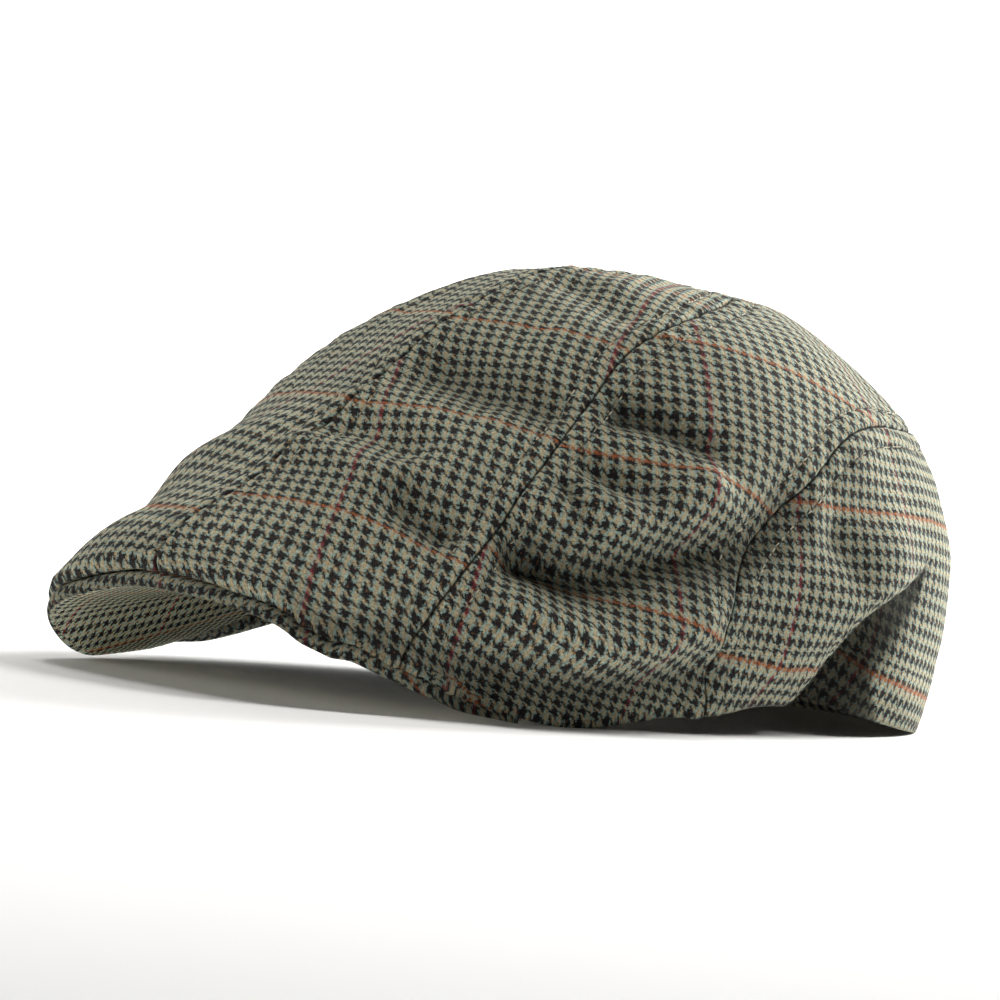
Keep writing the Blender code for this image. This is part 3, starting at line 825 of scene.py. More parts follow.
@dataclass(frozen=True)
class Grain:
    """How the cloth's threads lie on a panel.

    A panel's flat places run v up from the first mark, with the second mark below it, and
    u to the right as seen from outside. crimson and rust are where the overcheck lines
    cross, in metres, square to the warp and to the weft. bend arches the weft's lines and
    fan spreads the warp's, where the cloth is pulled over the top.
    """

    warp_degrees: float
    weft_degrees: float
    crimson: tuple
    rust: tuple
    bend: float = 0.0
    fan: float = 0.0
    fan_middle: float = 0.03

    def laid(self, flat: Grid, first: Grid, second: Grid) -> Grid:
        """Flat places turned and moved so that the threads run along u and v.

        Args:
            flat: Flat places (rows, columns, 2).
            first: Flat place of the first mark.
            second: Flat place of the second mark, down the cloth from it.

        Returns:
            Places on the cloth, with the warp along v.
        """
        line = second - first
        angle = -math.atan2(line[1], line[0]) - math.pi / 2.0
        cos, sin = math.cos(angle), math.sin(angle)
        spin = np.array([[cos, -sin], [sin, cos]])
        u, v = np.moveaxis((flat - first) @ spin.T, -1, 0)
        u_bent = u - self.fan * v * u / (np.abs(u) + self.fan_middle)
        v_bent = v + self.bend * u * u
        warp = math.radians(self.warp_degrees)
        weft = math.radians(self.weft_degrees)
        across = u_bent * math.sin(-warp) + v_bent * math.cos(warp)
        down = u_bent * math.sin(weft) - v_bent * math.cos(weft)
        warp_place = self.counted(across, self.crimson, CHECK.crimson_every)
        weft_place = self.counted(down, self.rust, CHECK.rust_every)
        return np.stack([warp_place, -weft_place], axis=-1)

    def counted(self, place: Grid, lines: tuple, every: int) -> Grid:
        """Places on the cloth, in metres, from places along the panel.

        Args:
            place: Places along the panel, square to the overcheck lines.
            lines: Places of the overcheck lines, rising.
            every: Repeats of the dogtooth between two lines.

        Returns:
            Lengths of cloth, in whole stretches of that many repeats at the lines.
        """
        stretch = every * CHECK.repeat
        known = np.array(lines)
        numbers = np.arange(len(lines)) * stretch
        low = known[0] - place
        high = place - known[-1]
        inside = np.interp(place, known, numbers)
        step_low = stretch / (known[1] - known[0])
        step_high = stretch / (known[-1] - known[-2])
        inside = np.where(low > 0.0, -low * step_low, inside)
        return np.where(high > 0.0, numbers[-1] + high * step_high, inside)


@dataclass(frozen=True)
class SeamFinish:
    """How the cloth rolls, swells and dips beside a topstitched seam."""

    gap: float = 0.00015
    # gap_shade_width and stitch_shade set the painted shade in the seam and on the row of stitches.
    gap_shade_width: float = 0.00045
    roll: float = 0.0008
    swell: float = 0.0003
    swell_from: float = 0.3
    swell_to: float = 2.0
    swell_fall: float = 0.0022
    stitch_out: float = 0.0065
    stitch_dip: float = 0.0003
    stitch_width: float = 0.0006
    stitch_shade: float = 0.4
    pucker: float = 0.0002
    pucker_wave: float = 0.0085

    def on_row(self, distance: Grid) -> Grid:
        """How nearly a place lies on the row of stitches, from 0 to 1."""
        return np.exp(-(((distance - self.stitch_out) / self.stitch_width) ** 2))

    def lift(self, distance: Grid, along: Grid, seed: int) -> Grid:
        """How far the cloth stands up or dips beside a seam.

        Args:
            distance: Distances from the seam.
            along: Lengths along it.
            seed: Picks the puckers.

        Returns:
            Heights, below zero for a dip.
        """
        inside = np.clip(self.roll - distance, 0.0, self.roll)
        rolled = self.roll - np.sqrt(np.maximum(self.roll**2 - inside**2, 0.0))
        between = ramp(distance, self.swell_from * self.roll, self.swell_to * self.roll)
        between *= 1.0 - ramp(distance, self.stitch_out - self.swell_fall, self.stitch_out)
        dip = self.stitch_dip * self.on_row(distance)
        near = 1.0 - ramp(distance, self.stitch_out, 2.0 * self.stitch_out)
        waves = self.pucker * near * ripple(along, seed, self.pucker_wave)
        return self.swell * between - rolled - dip + waves

    def shade(self, distance: Grid) -> Grid:
        """Painted shade in the seam and on the row of stitches, from 0 to 1."""
        line = 1.0 - ramp(distance, self.gap, self.gap + self.gap_shade_width)
        return np.maximum(line, self.stitch_shade * self.on_row(distance))


@dataclass
class Panel:
    """One panel of the crown as a fine grid, with its seams, hem and inner side."""

    name: str
    node: str
    slot: str
    seams: Seams
    borders: tuple
    grain: Grain
    cloth: float = 0.0020
    step: float = 0.0013
    seam_finish: SeamFinish = SeamFinish()
    seed: int = 1
    hem_levels: tuple = (0.92, 0.94, 0.955, 0.97, 0.98, 0.99, 1.0)
    hem_steps: int = 14
    wall_samples: int = 40
    flat_wall_end: float = 0.88
    relief_seed: int = 7
    relief_waves: tuple = ((0.045, 0.00035), (0.022, 0.00016), (0.011, 0.00007))
    relief_ways: int = 6
    relief_share: float = 2.4

    def places(self) -> tuple[Grid, Grid]:
        """Places (turn, down) of the panel's rows and columns."""
        raise NotImplementedError

    def marks(self, shape: tuple) -> tuple[tuple, tuple]:
        """Row and column of the two marks that the threads are laid by."""
        return (0, shape[1] // 2), (shape[0] - 1, shape[1] // 2)

    def hem_places(self, shares: Grid, start: Grid, end: Grid) -> tuple[Grid, Grid]:
        """Rows of places from below the wall to the hem's edge.

        Args:
            shares: Places of a row's points between its ends.
            start: Turn of the first point of the row at each hem level.
            end: Turn of its last point.

        Returns:
            Turns and downs (rows, columns).
        """
        turns = start[:, None] + (end - start)[:, None] * shares
        downs = np.repeat(np.array(self.hem_levels)[:, None], len(shares), axis=1)
        steps = np.arange(1, self.hem_steps + 1)[:, None]
        edge = 1.0 + (self.seams.shape.hem_end(turns[-1]) - 1.0) * steps / self.hem_steps
        turns = np.vstack([turns, np.repeat(turns[-1:], self.hem_steps, axis=0)])
        return turns, np.vstack([downs, edge])

    def thread_places(self, points: Grid, outward: Grid) -> Grid:
        """Places on the cloth of the panel's points.

        Args:
            points: Points (rows, columns, 3).
            outward: The crown's directions there.

        Returns:
            Places (rows, columns, 2), not mirrored as seen from outside.
        """
        facing = np.cross(np.gradient(points, axis=0), np.gradient(points, axis=1))
        flat = flat_cloth(points)
        row_step, column_step = np.gradient(flat, axis=0), np.gradient(flat, axis=1)
        seen = row_step[..., 0] * column_step[..., 1] - row_step[..., 1] * column_step[..., 0]
        if np.sum(facing * outward) * np.sum(seen) < 0.0:
            flat = flat * (-1.0, 1.0)
        first, second = self.marks(points.shape)
        return self.grain.laid(flat, flat[first], flat[second])

    def build(self) -> bpy.types.Object:
        """Make the panel's object.

        Returns:
            The finished piece, without its material.
        """
        shape = self.seams.shape
        turn, down = self.places()
        points, shade = shape.fold_cloth(turn, down)
        outward = shape.normals(turn.ravel(), np.minimum(down.ravel(), shape.wall_end))
        laid = self.thread_places(points, outward.reshape(points.shape))
        piece = cloth_grid(self.name, points)
        set_uvs(piece, laid)
        normal = vertex_normals(piece)
        wall = down.ravel() < self.flat_wall_end
        if np.sum(normal[wall] * outward[wall]) < 0.0:
            piece.data.flip_normals()
            normal = vertex_normals(piece)
        points = points.reshape(-1, 3)
        # Painted shade: from the folds, and below also in the seams and on the rows of stitches.
        shade = shade.ravel()
        height = np.zeros(len(points))
        for number, seam in enumerate(self.borders):
            distance, along = self.seams.measure(seam, points)
            height += self.seam_finish.lift(distance, along, self.seed * 10 + number)
            shade = np.maximum(shade, self.seam_finish.shade(distance))
        set_painted_shade(piece, shade)
        height += self.relief(points)
        moved = points + normal * height[:, None]
        moved[:, 2] = np.maximum(moved[:, 2], 0.0)
        set_points(piece, moved)
        self.add_inner_side(piece)
        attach(piece, "root")
        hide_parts(self.node)
        return piece

    def relief(self, points: Grid) -> Grid:
        """Low uneven swelling of soft cloth, in metres, from waves in several ways."""
        draw = np.random.default_rng(self.relief_seed)
        total = np.zeros(len(points))
        for wave, height in self.relief_waves:
            for _ in range(self.relief_ways):
                way = unit(draw.normal(size=3))
                swell = np.sin(2 * np.pi * (points @ way / wave + draw.uniform()))
                total += height / self.relief_share * swell
        return total

    def add_inner_side(self, piece: bpy.types.Object) -> None:
        """Give the cloth its thickness on the inside and shade it smooth."""
        select_only(piece)
        wall = piece.modifiers.new("thickness", "SOLIDIFY")
        wall.thickness = self.cloth
        wall.offset = -1.0
        wall.use_even_offset = False
        wall.use_rim = True
        bpy.ops.object.modifier_apply(modifier=wall.name)
        bpy.ops.object.shade_smooth_by_angle(angle=SOFT_EDGE)


@dataclass
class FrontPanel(Panel):
    """Front of the crown between the centre seam and one side seam."""

    side: Side = Side.LEFT
    top_gap: float = 0.012
    rim_samples: int = 30

    def places(self) -> tuple[Grid, Grid]:
        """Places of the rows, from the pointed top down to the hem."""
        shape = self.seams.shape
        seam = self.seams.side
        route = seam.half_route()
        q = np.linspace(0.0, 1.0, int(route_length(shape, route) / self.step))
        q = self.top_gap + (1.0 - self.top_gap) * q
        turn, down = from_disc(along_route(shape, route, q))
        samples = self.rim_samples
        rim = shape.plain(np.linspace(0.0, turn[-1], samples), np.full(samples, down[-1]))
        p = seam_spaced(float(run_lengths(rim)[-1]), self.step, True, True)
        sign = self.side.value
        turns = sign * turn[:, None] * p[None, :]
        downs = np.repeat(down[:, None], len(p), axis=1)
        end = sign * seam.turn_at(self.hem_levels)
        hem = self.hem_places(p, np.zeros_like(end), end)
        return np.vstack([turns, hem[0]]), np.vstack([downs, hem[1]])

    def marks(self, shape: tuple) -> tuple[tuple, tuple]:
        """The centre seam's two ends."""
        return (0, 0), (shape[0] - 1 - self.hem_steps, 0)


class CrownPanel(Panel):
    """Top and sides of the crown in one cloth, behind the front panels."""

    def places(self) -> tuple[Grid, Grid]:
        """Places of the rows, from the front seam back to the back seam."""
        shape = self.seams.shape
        front, back = self.seams.side, self.seams.back
        routes = front.route(), back.route()
        length = 0.5 * (route_length(shape, routes[0]) + route_length(shape, routes[1]))
        p = np.linspace(0.0, 1.0, int(length / self.step / 2.0) * 2 + 1)
        top, bottom = (along_route(shape, route, p) for route in routes)
        end = shape.wall_end
        wall = shape.wall_route(front.turn_at(end), back.turn_at(end), self.wall_samples)
        q = seam_spaced(route_length(shape, wall), self.step, True, True)
        left = along_route(shape, wall, q)
        turn, down = from_disc(fill_patch(top, bottom, left, left * (-1.0, 1.0), p, q))
        shares = (turn[:, 0] - turn[0, 0]) / (turn[-1, 0] - turn[0, 0])
        ends = front.turn_at(self.hem_levels), back.turn_at(self.hem_levels)
        hems = []
        for side in Side:
            hems.append(self.hem_places(shares, side.value * ends[0], side.value * ends[1]))
        turns = np.hstack([hems[0][0].T[:, ::-1], turn, hems[1][0].T])
        downs = np.hstack([hems[0][1].T[:, ::-1], down, hems[1][1].T])
        return turns, downs


@dataclass
class BackPanel(Panel):
    """Back of the crown below the back seam."""

    corner: float = 0.65
    wall_samples: int = 160

    def places(self) -> tuple[Grid, Grid]:
        """Places of the rows, from the back seam down to the hem."""
        shape = self.seams.shape
        seam = self.seams.back
        route = seam.route()
        first = int(np.argmax(from_disc(route)[0] >= self.corner))
        upper = route[first : len(route) - first]
        side = route[: first + 1][::-1]
        start = seam.turn_at(shape.wall_end)
        low = shape.wall_route(start, 2.0 - start, self.wall_samples)
        p = seam_spaced(route_length(shape, low), self.step, True, True)
        q = seam_spaced(route_length(shape, side), self.step, True, False)
        top = along_route(shape, upper, p)
        bottom = along_route(shape, low, p)
        left = along_route(shape, side, q)
        turns, downs = from_disc(fill_patch(top, bottom, left, left * (-1.0, 1.0), p, q))
        turns = np.where(turns < 0.0, turns + 2.0, turns)
        shares = (turns[-1] - turns[-1, 0]) / (turns[-1, -1] - turns[-1, 0])
        start = seam.turn_at(self.hem_levels)
        hem = self.hem_places(shares, start, 2.0 - start)
        return np.vstack([turns, hem[0]]), np.vstack([downs, hem[1]])

    def marks(self, shape: tuple) -> tuple[tuple, tuple]:
        """Middle of the back seam, and the rim below it."""
        return (0, shape[1] // 2), (shape[0] - 1 - self.hem_steps, shape[1] // 2)


@dataclass
class Peak:
    """Covered board under the crown's front edge, with a rounded edge strip."""

    shape: CrownShape
    name: str = "peak_cover"
    thickness: float = 0.0044
    proud: float = 0.0014
    clearance: float = 0.0004
    tip_from: float = 0.28
    tip_to: float = 0.36
    tip_depth: float = 0.003
    thinning: float = 0.75
    head_length: float = 0.202
    head_width: float = 0.160
    head_y: float = 0.019
    rings: int = 110
    edge_rows: int = 14
    flat_rows: int = 40
    hem_rows: int = 8
    crowding: float = 1.5
    edge_fullness: float = 0.7
    groove: float = 0.00035
    groove_width: float = 0.0008
    weld: float = 0.00001
    under_ahead: tuple = (0.29, 0.957)
    under_squeeze: float = 0.80
    under_scale: float = 1.75
    # Painted shade that darkens the peak's edge strip.
    edge_painted_shade: float = 0.42
    # Painted light: below zero, it lightens the underside's colour about 2.9 times.
    under_painted_light: float = -2.20
    search_steps: int = 28

    def head_distance(self, start: Grid, direction: Grid) -> Grid:
        """Distance from points to the oval opening for the head, along directions."""
        low = np.zeros(len(start))
        high = np.full(len(start), self.head_length / 2.0)
        for _ in range(self.search_steps):
            middle = (low + high) / 2.0
            place = start + direction * middle[:, None]
            out = (place[:, 0] / (self.head_width / 2)) ** 2
            out += ((place[:, 1] - self.head_y) / (self.head_length / 2)) ** 2
            low = np.where(out > 1.0, middle, low)
            high = np.where(out > 1.0, high, middle)
        return low

    def build(self) -> bpy.types.Object:
        """Make the peak's object.

        Returns:
            The finished piece, without its material.
        """
        turn = self.tip_to * np.sin(0.5 * np.pi * np.linspace(-1.0, 1.0, self.rings))
        ahead = self.shape.rib_paths(turn)[0]
        slope = self.shape.slope_at(turn)
        rows = np.arange(self.hem_rows + 1)[:, None]
        down = 1.0 + (self.shape.hem_end(turn) - 1.0) * rows / self.hem_rows
        hem = self.shape.folded(np.broadcast_to(turn, down.shape), down)
        inward = np.einsum("nk,hnk->hn", ahead, hem[:1, :, :2] - hem[:, :, :2])
        top = np.min(hem[:, :, 2] - slope * inward, axis=0) - self.clearance
        tip = (np.abs(turn) - self.tip_from) / (self.tip_to - self.tip_from)
        tip = np.clip(tip, 0.0, 1.0)
        thick = np.minimum(self.thickness * (1.0 - self.thinning * tip), top)
        start = hem[0, :, :2] + ahead * self.proud
        depth = self.head_distance(start, -ahead) * np.sqrt(1.0 - tip**2) + self.tip_depth * tip
        points = []
        for inset, up in self.section(top, thick, depth):
            flat = start - ahead * inset[:, None]
            points.append(np.column_stack([flat, up + slope * inset]))
        points.append(points[0])
        grid = np.array(points)
        grid[:, :, 2] = np.maximum(grid[:, :, 2], 0.0)
        piece = cloth_grid(self.name, grid)
        set_uvs(piece, self.cloth_places(grid))
        # Painted shade on the edge strip, and painted light on the underside.
        shade = np.zeros(grid.shape[:2])
        under = self.flat_rows + self.edge_rows - 2
        shade[self.flat_rows : under] = self.edge_painted_shade
        # Painted light on the underside.
        shade[under:-1] = self.under_painted_light
        set_painted_shade(piece, shade)
        self.close(piece)
        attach(piece, "root")
        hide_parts("peak")
        return piece

    def section(self, top: Grid, thick: Grid, depth: Grid) -> list:
        """Rows of the cover, over the board, round its edge and back below it.

        Args:
            top: Heights of the board's upper face at its edge.
            thick: Its thicknesses there.
            depth: How far inward it reaches.

        Returns:
            How far inward each row lies, and how high before the peak's slope.
        """
        round_edge = thick / 2.0
        shares = np.linspace(0.0, 1.0, self.flat_rows) ** self.crowding
        insets = [round_edge + (depth - round_edge) * share for share in shares]
        rows = [(inset, top) for inset in insets[::-1]]
        for k in range(1, self.edge_rows):
            angle = math.pi * k / self.edge_rows
            bulge = math.sin(angle) ** self.edge_fullness
            up = top - round_edge + round_edge * math.cos(angle)
            rows.append((round_edge * (1.0 - bulge), up))
        for inset in insets:
            dip = self.groove * np.exp(-(((inset - round_edge) / self.groove_width) ** 2))
            rows.append((inset, top - thick + dip))
        return rows

    def cloth_places(self, grid: Grid) -> Grid:
        """Places on the cloth: round the edge for the strip, laid slantwise below."""
        along = run_lengths(grid[self.flat_rows + self.edge_rows // 2])
        along = along - along[len(along) // 2]
        down = np.array([run_lengths(grid[:, k]) for k in range(grid.shape[1])]).T
        places = np.stack([np.broadcast_to(along, down.shape), down], axis=-1)
        ahead = np.array(self.under_ahead)
        side = np.array([-ahead[1], ahead[0]]) * self.under_squeeze
        first = self.flat_rows + self.edge_rows
        result = places.copy()
        ways = np.stack([ahead, side], axis=-1)
        result[first:-1] = self.under_scale * grid[first:-1, :, :2] @ ways
        return result

    def close(self, piece: bpy.types.Object) -> None:
        """Join the rolled grid's two long sides and close its tips."""
        select_only(piece)
        edit_all()
        bpy.ops.mesh.remove_doubles(threshold=self.weld)
        bpy.ops.mesh.select_all(action="DESELECT")
        bpy.ops.mesh.select_non_manifold(
            extend=False, use_multi_face=False, use_non_contiguous=False
        )
        bpy.ops.mesh.edge_face_add()
        bpy.ops.mesh.select_all(action="SELECT")
        bpy.ops.mesh.normals_make_consistent(inside=False)
        bpy.ops.object.mode_set(mode="OBJECT")
        bpy.ops.object.shade_smooth_by_angle(angle=SOFT_EDGE)


@dataclass
class Topstitching:
    """Rows of stitches beside the seams."""

    seams: Seams
    finish: SeamFinish = SeamFinish()
    length: float = 0.0017
    pitch: float = 0.0027
    radius: float = 0.00020
    sides: int = 7
    bend_at: float = 0.3
    end_from: float = 0.4
    end_width: float = 0.55
    end_dip: float = 1.1
    rise: float = 0.00018
    rise_spread: float = 0.00003
    twist: float = 0.05
    stretch: tuple = (0.88, 1.06)
    reach: float = 0.0016
    across_reach: float = 0.0005
    least_weight: float = 1e-4
    goals_per_stitch: int = 4

    def stitch(self) -> tuple[Grid, list]:
        """One stitch along X, as a rounded bar that dips at both ends.

        Returns:
            Its points, and its faces as tuples of their numbers.
        """
        deselect_all()
        bpy.ops.mesh.primitive_cylinder_add(
            vertices=self.sides, radius=self.radius, depth=self.length, end_fill_type="NGON"
        )
        piece = bpy.context.object
        edit_all()
        bpy.ops.transform.rotate(
            value=math.radians(90.0), orient_axis="Y", center_override=(0.0, 0.0, 0.0)
        )
        for place in (-self.bend_at * self.length, self.bend_at * self.length):
            bpy.ops.mesh.select_all(action="SELECT")
            bpy.ops.mesh.bisect(plane_co=(place, 0.0, 0.0), plane_no=(1.0, 0.0, 0.0))
        bpy.ops.object.mode_set(mode="OBJECT")
        points = read(piece.data.vertices, "co", 3)
        faces = [tuple(face.vertices) for face in piece.data.polygons]
        bpy.data.objects.remove(piece, do_unlink=True)
        outer = np.abs(points[:, 0]) > self.end_from * self.length
        points[outer, 1:] *= self.end_width
        points[outer, 2] -= self.end_dip * self.radius
        return points, faces

    def row(
        self, name: str, panel: bpy.types.Object, vertices: int, start: float, end: float
    ) -> list:
        """Places of the stitches of one row.

        Args:
            name: The seam.
            panel: The panel that the row lies on.
            vertices: Number of the panel's vertices on its outer side.
            start: Length along the seam where the row starts.
            end: Length where it ends.

        Returns:
            Middle, direction and normal of each stitch.
        """
        points = read(panel.data.vertices, "co", 3)[:vertices]
        distance, along = self.seams.measure(name, points)
        off = distance - self.finish.stitch_out
        near = np.abs(off) < self.reach
        if not near.any():
            return []
        points, normals = points[near], vertex_normals(panel)[:vertices][near]
        off, along = (off[near] / self.across_reach) ** 2, along[near]
        middle = []
        for goal in np.arange(start, end, self.pitch / self.goals_per_stitch):
            weight = np.exp(-(((along - goal) / self.reach) ** 2) - off)
            total = weight.sum()
            if total < self.least_weight:
                middle.append(None)
                continue
            weight /= total
            middle.append((weight @ points, unit(weight @ normals)))
        found = []
        half = self.goals_per_stitch // 2
        for k in range(half, len(middle) - half, self.goals_per_stitch):
            before, here, after = middle[k - half], middle[k], middle[k + half]
            if before and here and after:
                found.append((here[0], unit(after[0] - before[0]), here[1]))
        return found

    def sew(self, name: str, rows: list, seed: int) -> bpy.types.Object:
        """Make one object of a seam's stitches.

        Args:
            name: The piece's name.
            rows: Places of the stitches.
            seed: Picks their small differences.

        Returns:
            The finished piece, without its material.
        """
        draw = np.random.default_rng(seed)
        bar, faces = self.stitch()
        points = []
        all_faces = []
        for number, (middle, ahead, normal) in enumerate(rows):
            across = unit(np.cross(normal, ahead) + self.twist * draw.normal(size=3))
            ahead = unit(np.cross(across, normal)) * draw.uniform(*self.stretch)
            place = middle + normal * (self.rise + self.rise_spread * draw.normal())
            points.append(bar @ np.array([ahead, across, normal]) + place)
            all_faces += [tuple(number * len(bar) + corner for corner in face) for face in faces]
        mesh = bpy.data.meshes.new(name)
        mesh.from_pydata(np.vstack(points).tolist(), [], all_faces)
        mesh.update()
        work = bmesh.new()
        work.from_mesh(mesh)
        bmesh.ops.recalc_face_normals(work, faces=work.faces[:])
        work.to_mesh(mesh)
        work.free()
        mesh.shade_smooth()
        piece = bpy.data.objects.new(name, mesh)
        bpy.context.collection.objects.link(piece)
        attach(piece, "root")
        return piece


class Noise(NamedTuple):
    """A noise texture, and the range that its values from low to high are carried to."""

    scale: float
    detail: float
    roughness: float = 0.5
    low: float = 0.0
    high: float = 1.0
    to_low: float = 0.0
    to_high: float = 1.0


class Nodes:
    """Short calls for the nodes of one material."""

    def __init__(self, name: str) -> None:
        """Start a material with nothing but a shader and its output."""
        self.material = bpy.data.materials.new(name)
        self.material.use_nodes = True
        self.tree = self.material.node_tree
        self.shader = self.tree.nodes["Principled BSDF"]

    def add(self, kind: str, **settings: object) -> bpy.types.Node:
        """A node with some of its settings."""
        node = self.tree.nodes.new(kind)
        for key, value in settings.items():
            setattr(node, key, value)
        return node

    def join(self, value: object, socket: bpy.types.NodeSocket) -> None:
        """Link a socket, or set a number, colour or vector on one."""
        if isinstance(value, bpy.types.NodeSocket):
            self.tree.links.new(value, socket)
        else:
            socket.default_value = value

    def fill(self, node: bpy.types.Node, values: dict) -> None:
        """Link or set a node's inputs, each by its name or number."""
        for key, value in values.items():
            self.join(value, node.inputs[key])

    def math(self, operation: str, *values: object) -> bpy.types.NodeSocket:
        """Result of a Math node."""
        node = self.add("ShaderNodeMath", operation=operation)
        self.fill(node, dict(enumerate(values)))
        return node.outputs[0]

    def mix(
        self, share: object, first: object, second: object, blend: str = "MIX"
    ) -> bpy.types.NodeSocket:
        """Colour between two colours."""
        node = self.add("ShaderNodeMix", data_type="RGBA", blend_type=blend, clamp_result=False)
        self.fill(node, {"Factor": share, 6: first, 7: second})
        return node.outputs[2]

    def noise(self, vector: object, kind: Noise) -> bpy.types.Node:
        """A noise texture."""
        node = self.add("ShaderNodeTexNoise", noise_dimensions="3D")
        self.join(vector, node.inputs["Vector"])
        node.inputs["Scale"].default_value = kind.scale
        node.inputs["Detail"].default_value = kind.detail
        node.inputs["Roughness"].default_value = kind.roughness
        return node

    def ranged(self, vector: object, kind: Noise) -> bpy.types.NodeSocket:
        """Values of a noise texture, carried to its range and held within it."""
        node = self.add("ShaderNodeMapRange", clamp=True)
        value = self.noise(vector, kind).outputs["Fac"]
        self.fill(node, dict(enumerate((value, kind.low, kind.high, kind.to_low, kind.to_high))))
        return node.outputs[0]


def colour(red: float, green: float, blue: float) -> tuple:
    """Opaque colour from its linear parts."""
    return (red, green, blue, 1.0)


@dataclass(frozen=True)
class DogtoothCloth:
    """Woolly dogtooth check with rust and crimson overcheck threads."""

    name: str
    light_outer: tuple = (0.32, 0.44, 0.39)
    light_inner: tuple = (0.50, 0.41, 0.25)
    dark_outer: tuple = (0.005, 0.007, 0.013)
    dark_inner: tuple = (0.016, 0.009, 0.010)
    rust: tuple = (0.40, 0.12, 0.04)
    crimson: tuple = (0.28, 0.03, 0.045)
    fluff: tuple = (0.27, 0.28, 0.24)
    fleck: tuple = (0.42, 0.20, 0.07)
    sheen: tuple = (0.80, 0.82, 0.74)
    through: float = 0.35
    shakes: tuple = ((Noise(5200.0, 2.0), 3.6), (Noise(1500.0, 2.0), 2.4), (Noise(70.0, 1.0), 1.2))
    worn: Noise = Noise(420.0, 2.0, 0.5, 0.42, 0.56, 0.25, 1.0)
    fibres: Noise = Noise(3200.0, 3.0, 0.75, 0.52, 0.68, 0.0, 0.26)
    flecks: Noise = Noise(1100.0, 1.0, 0.5, 0.64, 0.70, 0.0, 0.55)
    uneven: Noise = Noise(1700.0, 3.0, 0.7, 0.30, 0.70, 0.35, 1.65)
    patches: Noise = Noise(25.0, 2.0, 0.5, 0.3, 0.7, 0.9, 1.1)
    nap: Noise = Noise(3000.0, 3.0, 0.7)
    nap_height: float = 1.3
    # How strongly the seam attribute's painted shade darkens the cloth, and its painted light
    # lightens it.
    painted_shade_strength: float = 0.88
    bump: float = 0.6
    bump_height: float = 0.00022
    roughness: float = 0.95
    specular: float = 0.1
    sheen_weight: float = 0.06
    sheen_roughness: float = 0.5

    def make(self) -> bpy.types.Material:
        """Build the cloth's nodes.

        Returns:
            The material.
        """
        nodes = Nodes(self.name)
        uv = nodes.add("ShaderNodeUVMap", uv_map="cloth").outputs[0]
        places = self.thread_places(nodes, uv)
        counts = [nodes.math("FLOOR", place) for place in places]
        fractions = [nodes.math("FRACT", place) for place in places]
        step = nodes.math("FLOORED_MODULO", nodes.math("ADD", *counts), float(CHECK.twill))
        warp_on_top = nodes.math("LESS_THAN", step, CHECK.twill / 2.0 - 0.5)
        warp, warp_line = self.yarn(nodes, counts[0], CHECK.crimson_every)
        weft, weft_line = self.yarn(nodes, counts[1], CHECK.rust_every)
        cloth = nodes.mix(warp_on_top, weft, warp)
        seen = nodes.math("MULTIPLY_ADD", warp_on_top, self.through - 1.0, 1.0)
        cloth = nodes.mix(nodes.math("MULTIPLY", weft_line, seen), cloth, colour(*self.rust))
        seen = nodes.math("MULTIPLY_ADD", warp_on_top, 1.0 - 0.5 * self.through, 0.5 * self.through)
        seen = nodes.math("MULTIPLY", seen, nodes.ranged(uv, self.worn))
        cloth = nodes.mix(nodes.math("MULTIPLY", warp_line, seen), cloth, colour(*self.crimson))
        nodes.join(self.soften(nodes, uv, cloth), nodes.shader.inputs["Base Color"])
        height = self.yarn_height(nodes, fractions, warp_on_top)
        nap = nodes.noise(uv, self.nap).outputs["Fac"]
        height = nodes.math("MULTIPLY_ADD", nap, self.nap_height, height)
        bump = nodes.add("ShaderNodeBump")
        bump.inputs["Strength"].default_value = self.bump
        bump.inputs["Distance"].default_value = self.bump_height
        nodes.join(height, bump.inputs["Height"])
        nodes.join(bump.outputs[0], nodes.shader.inputs["Normal"])
        nodes.shader.inputs["Roughness"].default_value = self.roughness
        nodes.shader.inputs["Specular IOR Level"].default_value = self.specular
        nodes.shader.inputs["Sheen Weight"].default_value = self.sheen_weight
        nodes.shader.inputs["Sheen Roughness"].default_value = self.sheen_roughness
        nodes.shader.inputs["Sheen Tint"].default_value = colour(*self.sheen)
        return nodes.material

    def thread_places(self, nodes: Nodes, uv: object) -> list:
        """Places in threads across the warp and the weft, shaken by loose fibres."""
        shakes = []
        for kind, reach in self.shakes:
            colours = nodes.add("ShaderNodeSeparateColor")
            nodes.join(nodes.noise(uv, kind).outputs["Color"], colours.inputs[0])
            shakes.append((colours, reach))
        parts = nodes.add("ShaderNodeSeparateXYZ")
        nodes.join(uv, parts.inputs[0])
        places = []
        for axis in (0, 1):
            place = nodes.math("MULTIPLY", parts.outputs[axis], CHECK.threads / CHECK.repeat)
            for colours, reach in shakes:
                shake = nodes.math("MULTIPLY_ADD", colours.outputs[axis], reach, -reach / 2.0)
                place = nodes.math("ADD", place, shake)
            places.append(place)
        return places

    def yarn(self, nodes: Nodes, count: object, every: int) -> tuple:
        """Colour of the threads of one direction, and where an overcheck thread lies."""
        place = nodes.math("FLOORED_MODULO", count, float(CHECK.threads))
        is_dark = nodes.math("LESS_THAN", place, CHECK.threads / 2.0 - 0.5)
        group = nodes.math("FLOORED_MODULO", count, CHECK.threads / 2.0)
        off = nodes.math("ABSOLUTE", nodes.math("SUBTRACT", group, CHECK.threads / 4.0 - 0.5))
        inner = nodes.math("LESS_THAN", off, 1.0)
        light = nodes.mix(inner, colour(*self.light_outer), colour(*self.light_inner))
        dark = nodes.mix(inner, colour(*self.dark_outer), colour(*self.dark_inner))
        line = nodes.math("FLOORED_MODULO", count, float(CHECK.threads * every))
        on_line = nodes.math("LESS_THAN", line, CHECK.line_threads - 0.5)
        return nodes.mix(is_dark, light, dark), on_line

